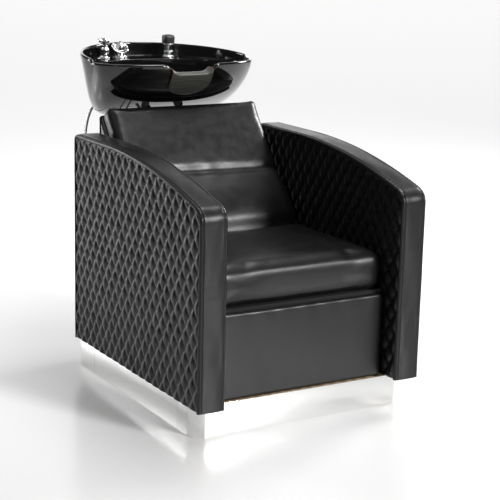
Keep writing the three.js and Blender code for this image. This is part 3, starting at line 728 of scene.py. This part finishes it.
def make_taps():
    turned("mixer_base", [(0, 846), (12.6, 846), (12.6, DECK), (23, DECK + 0.3), (23, 888), (17, 891),
                          (15, 898), (15, 901), (0, 901)], MIXER, CHROME, BASIN, 1.5)
    dome = [(0, 901.8)] + [(19 * math.cos(a), LOOP_Z + 19 * math.sin(a))
                           for a in np.linspace(-math.pi / 3.4, math.pi / 2, 24)]
    cap = lathe("mixer_dome", dome, MIXER, CHROME, "mixer_head", 1.2)
    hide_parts("mixer_cap")
    lathe("mixer_marker", [(0, 934.8), (3.2, 934.9), (4.6, 935.6), (4.0, 936.4), (0, 936.7)], MIXER,
          PLASTIC, "mixer_head", 0.3)
    loop_line = []
    tilt = math.pi / 2 - 0.9
    for i in range(LOOP_SAMPLES + 1):
        a = 2 * math.pi * i / LOOP_SAMPLES
        rise = LOOP_RADIUS * math.sin(a)
        loop_line.append((MIXER[0] + LOOP_RADIUS * math.cos(a), MIXER[1] + rise * math.cos(tilt),
                          LOOP_Z + rise * math.sin(tilt)))
    lever = sweep("mixer_loop", np.array(loop_line), [2.5] * len(loop_line), CHROME, "mixer_handle", 20)
    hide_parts("mixer_lever")
    for side, word in ((-1, "left"), (1, "right")):
        line = np.array([(MIXER[0] + side * r, MIXER[1], LOOP_Z) for r in (18.5, 20, 22, LOOP_RADIUS)])
        sweep(f"mixer_stub_{word}", line, [4.2, 3.6, 3.1, 3.0], CHROME, "mixer_handle", 24)

    turned("valve_body", [(0, 850), (7, 850), (7, DECK), (15, DECK + 0.3), (15, 888), (8, 891), (8, 897),
                          (12, 902), (13, 909), (11, 916), (8, 920), (8, 928), (0, 928)], VALVE,
           CHROME, BASIN, 2.0)
    lathe("valve_collar", [(12.4, 905.5), (13.9, 906.5), (13.9, 912), (12.2, 913), (12.0, 909)], VALVE,
          PLASTIC, BASIN, 0.6, closed=True)
    turned("valve_cap", [(0, 928.3), (11, 928.3), (15, 934), (16, 943), (12, 950), (0, 952)], VALVE,
           CHROME, BASIN, 3.2)
    nub = np.array([(VALVE[0] - r, VALVE[1], 942) for r in (9, 14, 18, 22, 24.2, 25)])
    sweep("valve_nub", nub, [6, 6, 6, 5.8, 4.6, 2.4], CHROME, BASIN, 28)

    turned("spray_guide", [(11.2, 850), (12.7, 850), (12.7, DECK), (21, DECK + 0.3), (21, 889), (15.5, 892),
                           (15.5, 906), (11.2, 906)], SPRAY, CHROME, BASIN, 1.4, closed=True)
    turned("spray_handle", [(0, 846), (8, 846), (10.6, 856), (10.6, 903), (10.6, 906.3), (12, 907),
                            (11, 922), (16, 925), (16, 928), (0, 928)], SPRAY, CHROME, "sprayer", 1.2)
    turned("hose_ferrule", [(0, 832), (7.5, 832), (7.5, 835), (6.9, 836), (7.5, 837), (7.5, 845.7),
                            (0, 845.7)], SPRAY, CHROME, "sprayer", 0.6)
    outline = rounded([(10, 928.3), (14, 928.3), (17, 931), (18, 950), (15, 955), (10, 956)], 2.6,
                      closed=False)
    rings = []
    for half, z in outline:
        ring = []
        for i in range(96):
            a = 2 * math.pi * i / 96
            reach = half * (abs(math.cos(a)) ** 4.4 + abs(math.sin(a)) ** 4.4) ** (-1 / 4.4)
            ring.append(at(SPRAY[0] + reach * math.cos(a), SPRAY[1] + reach * math.sin(a), z))
        rings.append(ring)
    head = loft("spray_head_shell", rings, PLASTIC, "sprayer", crease=60)
    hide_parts("spray_head")
    lathe("spray_face", [(0, 955.6), (9.2, 955.8), (9.6, 956.2), (8.6, 956.6), (0, 956.4)], SPRAY, RUBBER,
          "sprayer", 0.3)


def make_drain():
    where = (0, DRAIN_Y)
    seat = BASIN_FLOOR + 0.3
    turned("drain_flange", [(19, 716), (22, 716), (22, seat), (40, seat), (39, seat + 2.5), (19, seat + 2)],
           where, CHROME, BASIN, 1.2, closed=True)
    turned("strainer_basket", [(0, 747), (18, 747), (18, seat + 2.8), (30, seat + 2.8), (29, seat + 5),
                               (16, seat + 5), (16, 749), (0, 749)], where, CHROME, "strainer", 0.9)
    # the basket's holes are not cut: small dark rubber discs lie on its top, painted shade standing for the
    # dark drain seen through each hole
    for ring_radius, count in ((5, 6), (10, 12)):
        for i in range(count):
            a = 2 * math.pi * i / count
            spot = (ring_radius * math.cos(a), DRAIN_Y + ring_radius * math.sin(a))
            lathe(f"painted_hole_shade_{ring_radius}_{i}", [(0, 749), (1.5, 749.05), (0, 749.1)], spot, RUBBER,
                  "strainer", 0.05, 12)
    turned("drain_tailpiece", [(16, 660), (20, 660), (20, 715.7), (16, 715.7)], where, CHROME, BASIN, 0.8,
           closed=True)
    lathe("tailpiece_clamp", [(20.1, 664), (22.5, 664.4), (22.5, 674.6), (20.1, 675)], where, STAINLESS,
          BASIN, 0.5, closed=True)


# ---------------------------------------------------------------- arms
ARM_OUTER, ARM_WIDTH, ARM_DEPTH, ARM_TOP = 350, 80, 778, 705
ARM_FOOT = 88.3
BAND_DEPTH = 9
QUILT_WIDE, QUILT_TALL, QUILT_PUFF = 42.2, 60.7, 7.0
SEAM_AT = 31          # the band's long seams, from its middle


def arc(cy, cz, radius, start, end, steps=90):
    return [(cy + radius * math.cos(a), cz + radius * math.sin(a)) for a in np.linspace(start, end, steps)]


def arm_line(inset, spacing=3.0):
    """Side outline of an arm from its front foot, over the top and down to its rear foot."""
    big_y, big_z, big = 560, ARM_TOP - 1800, 1800
    front, rear = 45, 20
    fillet_z = big_z + math.sqrt((big - front) ** 2 - (big_y - front) ** 2)
    meet = math.atan2(fillet_z - big_z, front - big_y)
    points = [(inset, ARM_FOOT)] + arc(front, fillet_z, front - inset, math.pi, meet)
    points += arc(big_y, big_z, big - inset, meet, math.pi / 2)[1:]
    points += arc(ARM_DEPTH - rear, ARM_TOP - rear, rear - inset, math.pi / 2, 0)
    points.append((ARM_DEPTH - inset, ARM_FOOT))
    return even(np.array(points), spacing)


def outward(line):
    tangent = np.gradient(line, axis=0)
    tangent /= np.linalg.norm(tangent, axis=1)[:, None]
    return np.stack([-tangent[:, 1], tangent[:, 0]], 1)


def smooth_step(value):
    t = np.clip(value, 0, 1)
    return t * t * (3 - 2 * t)


def random_of(cell):
    return np.modf(np.abs(np.sin(cell * 12.9898)) * 43758.5453)[0]


def quilt_height(y, z):
    """0 on the sewn lines, about 1 in the middle of each diamond."""
    sway = 0.018 * np.sin(y / 37 + z / 53) + 0.014 * np.sin(y / 19 - z / 71)
    u = y / QUILT_WIDE + z / QUILT_TALL + sway
    v = y / QUILT_WIDE - z / QUILT_TALL + 0.8 * sway
    pillow = (np.abs(np.sin(np.pi * u)) * np.abs(np.sin(np.pi * v))) ** 0.58
    lively = 0.88 + 0.24 * random_of(np.floor(u) * 57 + np.floor(v) * 131 + 7)
    crinkle = 0.06 * np.sin(u * 23 + 3 * np.sin(v * 9)) * (1 - pillow)
    return pillow * lively + crinkle * pillow


def make_quilt(name, side, face, outward_sign, replaced):
    """Quilted panel on one face of an arm; face is its plane, and outward_sign the way it faces along X."""
    edge = BAND_DEPTH - 1.5
    outline, _ = arm_line(edge, 2.0)
    top_part = outline[(outline[:, 1] > ARM_FOOT + 300)]
    columns = np.linspace(edge + 0.05, ARM_DEPTH - edge - 0.05, 229)
    tops = np.array([top_part[np.abs(top_part[:, 0] - c) < 2.5][:, 1].max() for c in columns])
    rows = np.linspace(0, 1, 171)
    y = np.repeat(columns[:, None], len(rows), 1)
    z = ARM_FOOT + (tops[:, None] - ARM_FOOT) * rows[None, :]
    slope = np.gradient(tops, columns)[:, None]
    to_top = (tops[:, None] - z) / np.sqrt(1 + slope ** 2)
    to_edge = np.minimum(np.minimum(to_top, z - ARM_FOOT + 4), np.minimum(y - edge, ARM_DEPTH - edge - y))
    puff = quilt_height(y, z) * smooth_step(to_edge / 9)
    sink = 3.4 * (1 - smooth_step(to_edge / 7))
    height = QUILT_PUFF * (puff - 0.86) - sink
    x = side * face + outward_sign * height
    points = [at(*p) for p in np.stack([x, y, z], 2).reshape(-1, 3)]
    count = len(rows)
    faces = []
    for i in range(len(columns) - 1):
        for k in range(count - 1):
            a = i * count + k
            quad = (a, a + count, a + count + 1, a + 1)
            faces.append(quad if outward_sign > 0 else quad[::-1])
    # turned-in border, so the panel is a pad and not a sheet
    border = [i * count for i in range(len(columns))]
    border += [(len(columns) - 1) * count + k for k in range(1, count)]
    border += [i * count + count - 1 for i in reversed(range(len(columns) - 1))]
    border += [k for k in reversed(range(1, count - 1))]
    start = len(points)
    points += [points[b] - Vector((outward_sign * 8 * MM, 0, 0)) for b in border]
    for i, b in enumerate(border):
        j = (i + 1) % len(border)
        quad = (b, start + i, start + j, border[j])
        faces.append(quad if outward_sign > 0 else quad[::-1])
    back = tuple(start + i for i in range(len(border)))
    faces.append(back if outward_sign > 0 else back[::-1])
    panel = mesh_object(name, points, faces, QUILT, CHAIR, crease=80)
    stand_for(replaced)
    return panel


def band_section():
    """Across the band: (offset from the middle, height above the outline)."""
    half, turn = ARM_WIDTH / 2, 7.0
    top = [(u, 0.0) for u in np.linspace(-half + turn, half - turn, 57)]
    right = [(half - turn + turn * math.sin(a), -turn + turn * math.cos(a))
             for a in np.linspace(0.2, math.pi / 2, 8)]
    left = [(-u, n) for u, n in reversed(right)]
    under = [(half - 1, -BAND_DEPTH), (half - 5, -BAND_DEPTH - 1), (-half + 5, -BAND_DEPTH - 1),
             (-half + 1, -BAND_DEPTH)]
    return left + top + right + under


def make_band(side, suffix):
    line, along = arm_line(0, 3.0)
    normals = outward(line)
    section = band_section()
    rings = []
    for (y, z), (ny, nz), s in zip(line, normals, along):
        near_corner = math.exp(-((s - 545) / 95) ** 2)
        on_top = 1 / (1 + math.exp(-(s - 530) / 14)) * math.exp(-max(0, s - 640) / 420)
        ring = []
        for u, n in section:
            beside = abs(abs(u) - SEAM_AT)
            if n > -BAND_DEPTH:
                groove = 1.7 * math.exp(-(beside / 1.7) ** 2)
                crown = 1.6 * (1 - (u / 40) ** 2)
                spread = math.exp(-(beside / 8.5) ** 2)
                pleat = math.sin(s * 2 * math.pi / 13 + 1.3 * math.sin(s / 29) + (u > 0))
                gather = 0.55 * (0.35 + near_corner) * on_top * pleat * spread
                slow = 0.45 * math.sin(s / 47 + u / 17) + 0.3 * math.sin(s / 23 - u / 9)
                n = n - 1.4 + crown - groove + gather + slow * (1 - spread)
            ring.append(at(side * (ARM_OUTER - ARM_WIDTH / 2) + u, y + ny * n, z + nz * n))
        rings.append(ring)
    band = loft(f"arm_band_{suffix}_skin", rings, LEATHER, CHAIR, crease=80)
    stand_for(f"arm_band_{suffix}")
    for sign in (-1, 1):
        offset = side * (ARM_OUTER - ARM_WIDTH / 2) + sign * (SEAM_AT - 3.2)
        path = [(offset, y - ny * 0.5, z - nz * 0.5) for (y, z), (ny, nz) in zip(line, normals)]
        lift = [(0, ny, nz) for ny, nz in normals]
        stitches(f"arm_stitches_{suffix}_{'in' if sign * side < 0 else 'out'}", path, lift)


def stitches(name, path, normals, pitch=5.2, length=3.9, radius=0.42):
    """Short thread arcs along a path in millimetres, each rising from the surface and going back in."""
    joined = np.concatenate([np.array(path, float), np.array(normals, float)], 1)
    along = np.concatenate([[0], np.cumsum(np.linalg.norm(np.diff(joined[:, :3], axis=0), axis=1))])
    starts = np.arange(pitch, along[-1] - pitch, pitch)
    points, faces = [], []
    for start in starts:
        samples = [np.array([np.interp(start + length * f, along, joined[:, i]) for i in range(6)])
                   for f in (0, 0.18, 0.5, 0.82, 1)]
        direction = samples[-1][:3] - samples[0][:3]
        direction /= np.linalg.norm(direction)
        first = len(points)
        for sample, lift in zip(samples, (-0.6, 0.25, 0.4, 0.25, -0.6)):
            up = sample[3:] / np.linalg.norm(sample[3:])
            across = np.cross(direction, up)
            centre = sample[:3] + up * lift
            points += [at(*(centre + radius * (across * math.cos(a) + up * math.sin(a))))
                       for a in (2 * math.pi * k / 6 for k in range(6))]
        faces += [tuple(first + i for i in face) for face in ring_faces(5, 6, True)]
    return mesh_object(name, points, faces, THREAD)


def make_arms():
    for side, suffix in ((-1, "left"), (1, "right")):
        make_band(side, suffix)
        make_quilt(f"arm_quilt_outer_{suffix}", side, ARM_OUTER, side, f"arm_outer_pad_{suffix}")
        make_quilt(f"arm_quilt_inner_{suffix}", side, ARM_OUTER - ARM_WIDTH, -side, f"arm_inner_pad_{suffix}")


# ---------------------------------------------------------------- cushions and covered panels
RECLINE = math.radians(37.2)
BACK_TOP = (754, 777)
BACK_HALF, BACK_THICK = 252, 54
SEAT_FRONT, SEAT_HALF = 59, 267.5
SEAT_LOW, SEAT_TOP = 334, 448
HOUSING_HALF = 249


def on_back(along, into):
    """(Y, Z) at a distance down the reclined face and a depth into the back."""
    s, c = math.sin(RECLINE), math.cos(RECLINE)
    return BACK_TOP[0] - along * s + into * c, BACK_TOP[1] - along * c - into * s


def along_at(z, into):
    return (BACK_TOP[1] - into * math.sin(RECLINE) - z) / math.cos(RECLINE)


def inset_outline(outline, inset):
    """Closed clockwise or anticlockwise outline moved inwards."""
    line = np.array(outline)
    tangent = np.roll(line, -1, 0) - np.roll(line, 1, 0)
    tangent /= np.maximum(np.linalg.norm(tangent, axis=1), 1e-6)[:, None]
    area = np.sum(line[:, 0] * np.roll(line[:, 1], -1) - np.roll(line[:, 0], -1) * line[:, 1])
    inward = np.stack([-tangent[:, 1], tangent[:, 0]], 1) * (1 if area > 0 else -1)
    return line + inward * inset


def soft_block(name, outline, half_width, corner, end_round, material, steps=8, spacing=7.0, body=CHAIR):
    """A (Y, Z) outline carried across the chair, with its corners and both its ends rounded."""
    loop = [tuple(p) for p in rounded(outline, corner, steps)]
    loop, _ = even(np.array(loop + loop[:1]), spacing)
    loop = loop[:-1]
    turns = [math.pi / 2 * i / 7 for i in range(8)]
    right = [(half_width - end_round * (1 - math.sin(a)), end_round * (1 - math.cos(a))) for a in turns]
    middle = [(x, 0) for x in np.linspace(-half_width + end_round, half_width - end_round, 40)[1:-1]]
    stations = [(-x, i) for x, i in reversed(right)] + middle + right
    rings = []
    for x, inset in stations:
        rings.append([at(x, y, z) for y, z in inset_outline(loop, inset)])
    return loft(name, rings, material, body)


def coordinates(mesh):
    flat = np.empty(len(mesh.vertices) * 3, np.float64)
    mesh.vertices.foreach_get("co", flat)
    return flat.reshape(-1, 3)


def set_coordinates(mesh, points):
    mesh.vertices.foreach_set("co", np.ascontiguousarray(points, np.float64).ravel())
    mesh.update()


def inflate(ob, voxel, cap, weights=(1, 1, 1), pressure=4.0):
    """Remeshes a cushion, lets air pressure swell its cover by at most cap, and smooths it."""
    modifier(ob, "REMESH", mode="VOXEL", voxel_size=voxel * MM)
    apply_modifiers(ob)
    rest = coordinates(ob.data)
    cloth = ob.modifiers.new("cloth", "CLOTH")
    cloth.settings.use_pressure = True
    cloth.settings.uniform_pressure_force = pressure
    cloth.settings.effector_weights.gravity = 0
    cloth.settings.quality = 4
    cloth.settings.mass = 0.35
    cloth.settings.tension_stiffness = 12
    cloth.settings.compression_stiffness = 12
    cloth.settings.bending_stiffness = 0.8
    for number in range(1, 21):
        bpy.context.scene.frame_set(number)
    graph = bpy.context.evaluated_depsgraph_get()
    swollen = coordinates(ob.evaluated_get(graph).data)
    ob.modifiers.remove(cloth)
    bpy.context.scene.frame_set(1)
    move = swollen - rest
    size = np.maximum(np.linalg.norm(move, axis=1), 1e-9)
    move *= (np.minimum(size, cap * MM) / size)[:, None] * np.array(weights)
    set_coordinates(ob.data, rest + move)
    modifier(ob, "SMOOTH", factor=0.6, iterations=16)
    apply_modifiers(ob)


def bumps(points, scale, seed=0):
    """Smooth noise from -1 to 1 over points, by a sum of slow waves."""
    p = points / (scale * MM)
    total = np.zeros(len(p))
    waves = ((1, 0.37, 0.61), (-0.53, 1.1, 0.29), (0.71, -0.83, 0.97), (0.17, 0.67, -1.3))
    for k, (a, b, c) in enumerate(waves):
        total += np.sin(p[:, 0] * a + p[:, 1] * b + p[:, 2] * c + 1.7 * k + seed)
    return total / 4


def finish_cushion(ob, material, replaced, levels=1):
    ob.data.materials.clear()
    ob.data.materials.append(material)
    ob.data.shade_smooth()
    modifier(ob, "SUBSURF", levels=levels, render_levels=levels)
    apply_modifiers(ob)
    ob.data.shade_smooth()
    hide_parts(replaced)


def make_seat():
    rear_low = BACK_TOP[0] - (BACK_TOP[1] - SEAT_LOW) * math.tan(RECLINE) - 4
    rear_high = BACK_TOP[0] - (BACK_TOP[1] - SEAT_TOP) * math.tan(RECLINE) - 4
    slim = 5
    outline = [(SEAT_FRONT + slim, SEAT_LOW + 2), (rear_low, SEAT_LOW + 2),
               (rear_high, SEAT_TOP - slim), (SEAT_FRONT + slim, SEAT_TOP - slim)]
    seat = soft_block("seat_cushion_cover", outline, SEAT_HALF - 2, 34, 30, LEATHER)
    inflate(seat, 6, 7, (0.25, 1, 1))
    points = coordinates(seat.data)
    x, y, z = points.T
    depth = (y - at(0, SEAT_FRONT, 0).y) / MM
    on_top = smooth_step((z / MM - (SEAT_LOW + 50)) / 40)
    # crown, the dip where people sit, and slow creases towards the back
    crown = 5.0 * (1 - (x / (SEAT_HALF * MM)) ** 4) * np.sin(np.clip(depth / 420, 0, 1) * math.pi) ** 0.7
    crown -= 3.0 * np.exp(-((depth - 250) / 110) ** 2 - (x / 0.17) ** 2)
    creases = 1.0 * np.sin(depth / 9 + 6 * bumps(points, 90)) * smooth_step((depth - 330) / 60)
    z += (crown + creases + 0.35 * bumps(points, 60, 2)) * on_top * MM
    y += 0.4 * bumps(points, 70, 4) * (depth < 60) * MM
    points = np.stack([x, y, z], 1)
    points[:, 2] = np.maximum(points[:, 2], (SEAT_LOW + 0.5) * MM)
    set_coordinates(seat.data, points)
    finish_cushion(seat, LEATHER, "seat_cushion")


def make_back():
    foot = SEAT_LOW + 4
    slim = 4
    outline = [on_back(-8, -1), on_back(226, slim), on_back(290, slim - 8), on_back(350, slim - 13),
               on_back(396, slim - 12), on_back(425, slim), on_back(along_at(foot, 0), slim),
               on_back(along_at(foot, BACK_THICK), BACK_THICK), on_back(-4, BACK_THICK)]
    back = soft_block("back_cushion_cover", outline, BACK_HALF, 9, 8, LEATHER)
    inflate(back, 5, 6, (0.3, 1, 1))
    points = coordinates(back.data)
    x, y, z = points.T
    dy = (y - at(0, BACK_TOP[0], 0).y) / MM
    dz = z / MM - BACK_TOP[1]
    s, c = math.sin(RECLINE), math.cos(RECLINE)
    along = -dy * s - dz * c
    into = dy * c - dz * s
    face = 1 - smooth_step((into - 2) / 22)
    across = np.abs(x) / (BACK_HALF * MM)
    seam = 226 + 6 * np.sin(x / 0.21)
    groove = 6.5 * np.exp(-((along - seam) / 15) ** 2)
    fold = 0.8 * np.sin(x / MM / 21 + 2 * np.sin(x / MM / 47)) * np.exp(-((along - seam) / 30) ** 2)
    crown = 6 * np.sin(np.clip((along - 12) / 200, 0, 1) * math.pi) * (1 - across ** 3)
    belly = 8 * np.exp(-(np.abs(along - 338) / 78) ** 2.6) * (1 - across ** 4)
    push = (-groove + fold + crown + belly + 1.3 * bumps(points, 60, 1)) * face * MM
    y = y - push * c
    z = z + push * s
    # the lower part spreads a little towards the arms
    x = x * (1 + 0.028 * smooth_step((along - 120) / 220))
    set_coordinates(back.data, np.stack([x, y, z], 1))
    finish_cushion(back, LEATHER, "back_cushion")


def make_apron():
    outline = [(SEAT_FRONT + 1, 89), (SEAT_FRONT + 17, 89), (SEAT_FRONT + 17, 326), (SEAT_FRONT + 1, 326)]
    pad = soft_block("apron_cover", outline, SEAT_HALF - 4.5, 9, 9, LEATHER, spacing=3.5)
    modifier(pad, "REMESH", mode="VOXEL", voxel_size=3.5 * MM)
    apply_modifiers(pad)
    points = coordinates(pad.data)
    x, y, z = points.T
    front = 1 - smooth_step((y - at(0, SEAT_FRONT + 2, 0).y) / (9 * MM))
    height = np.clip((z / MM - 89) / 237, 0, 1)
    crown = 3.5 * np.sin(height * math.pi) ** 0.6 * (1 - (x / (SEAT_HALF * MM)) ** 6)
    pull = 0.7 * np.sin(x / MM / 12 + 2 * bumps(points, 80)) * np.exp(-(1 - height) * 237 / 22)
    y -= (crown + pull + 0.7 * bumps(points, 50, 3)) * front * MM
    set_coordinates(pad.data, np.stack([x, y, z], 1))
    finish_cushion(pad, LEATHER, "apron_pad", 0)


def make_housing():
    behind = BACK_THICK + 12.6
    floor_z = 106.6
    outline = [on_back(0, behind), on_back(along_at(470, behind), behind), (WALL_REAR - 190, floor_z),
               (WALL_REAR, floor_z), (WALL_REAR, 690), (811, 752)]
    shell = soft_block("rear_housing_cover", outline, HOUSING_HALF, 9, 8, LEATHER, 6, 4.0)
    stand_for("rear_housing")
    rear = at(0, WALL_REAR, 0).y
    points = coordinates(shell.data)
    x, y, z = points.T
    # sewn lines near both edges and across the back
    seam_x = 1.6 * np.exp(-((np.abs(x) / MM - (HOUSING_HALF - 24)) / 2.4) ** 2)
    seam_z = 1.6 * np.exp(-((z / MM - 560) / 2.4) ** 2) * (np.abs(x) < (HOUSING_HALF - 24) * MM)
    on_rear = smooth_step((y - rear + 0.004) / 0.003)
    y = y - (np.maximum(seam_x, seam_z) - 0.8 * bumps(points, 110, 5)) * on_rear * MM
    set_coordinates(shell.data, np.stack([x, np.minimum(y, rear), z], 1))
    lift = (0, 1, 0)
    for side in (-1, 1):
        for offset in (20, 28):
            x_at = side * (HOUSING_HALF - offset)
            path = [(x_at, WALL_REAR - 0.4, z_at) for z_at in np.linspace(120, 684, 60)]
            stitches(f"housing_stitches_{offset}_{'left' if side < 0 else 'right'}", path, [lift] * 60)
    for offset in (-4, 4):
        path = [(x_at, WALL_REAR - 0.4, 560 + offset) for x_at in np.linspace(-220, 220, 60)]
        stitches(f"housing_stitches_across_{'low' if offset < 0 else 'high'}", path, [lift] * 60)


# ---------------------------------------------------------------- plinth
PLINTH_HALF, PLINTH_FRONT, PLINTH_REAR, PLINTH_TOP = 332, 55, 775, 87.7
PLATE = 2


def plate_end(inset, seam_y, end_y, radius):
    """U-shaped line round one end of the plinth."""
    side = PLINTH_HALF - inset
    to_end = 1 if end_y > seam_y else -1
    end = end_y - to_end * inset
    r = max(radius - inset, 0.5)
    left = arc(-side + r, end - to_end * r, r, math.pi, math.pi - to_end * math.pi / 2, 28)
    right = arc(side - r, end - to_end * r, r, to_end * math.pi / 2, 0, 28)
    return [(-side, seam_y)] + left + right + [(side, seam_y)]


def make_plate(name, line_at):
    """Bent sheet whose plan line is line_at(inset), with softened edges."""
    corners = rounded([(0, 0.2), (0, PLINTH_TOP), (PLATE, PLINTH_TOP), (PLATE, 0.2)], 0.6, 3)
    sections = [[at(x, y, z) for x, y in line_at(inset)] for inset, z in corners]
    rings = [list(ring) for ring in zip(*sections)]
    plate = loft(name + "_sheet", rings, STAINLESS, CHAIR, crease=50)
    stand_for(name)


def make_plinth():
    make_plate("plinth_front", lambda i: plate_end(i, 147, PLINTH_FRONT, 40))
    make_plate("plinth_rear", lambda i: plate_end(i, 671, PLINTH_REAR, 8))
    for side, word in ((-1, "left"), (1, "right")):
        make_plate(f"plinth_{word}", lambda i, s=side: [(s * (PLINTH_HALF - i), y)
                                                        for y in np.linspace(147.5, 670.5, 12)])


# ---------------------------------------------------------------- the frame's own pieces
FINISHES = (
    (("post_flange", "bowl_post", "pivot_bracket", "tilt_cradle"), POWDER, 1.6),
    (("tilt_pin", "anchor_bracket", "panel_screw"), STAINLESS, 0.8),
    (("hot_inlet", "cold_inlet", "drain_nut", "mixer_nut", "guide_nut"), BRASS, 0.7),
    (("service_panel", "tilt_bush", "tilt_lock_lever", "waste_outlet"), PLASTIC, 1.2),
    (("drain_gasket",), RUBBER, 0.5),
    (("apron_board", "seat_board", "back_board", "seat_rail", "base_board"), LINING, 1.0),
    (("arm_core", "plinth_frame"), PLYWOOD, 1.0),
)


def finish_frame():
    """Gives each CAD piece that still shows its finish and a softened edge."""
    for name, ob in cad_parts.items():
        for starts, material, width in FINISHES:
            if name.startswith(starts) and not ob.hide_render:
                ob.data.materials.clear()
                ob.data.materials.append(material)
                modifier(ob, "BEVEL", width=width * MM, segments=3, limit_method="ANGLE",
                         angle_limit=math.radians(35))


def main():
    make_camera()
    make_hoses()
    make_lights()
    make_floor()
    make_bowl()
    make_neck_rest()
    make_taps()
    make_drain()
    make_arms()
    make_seat()
    make_back()
    make_apron()
    make_housing()
    make_plinth()
    finish_frame()


main()
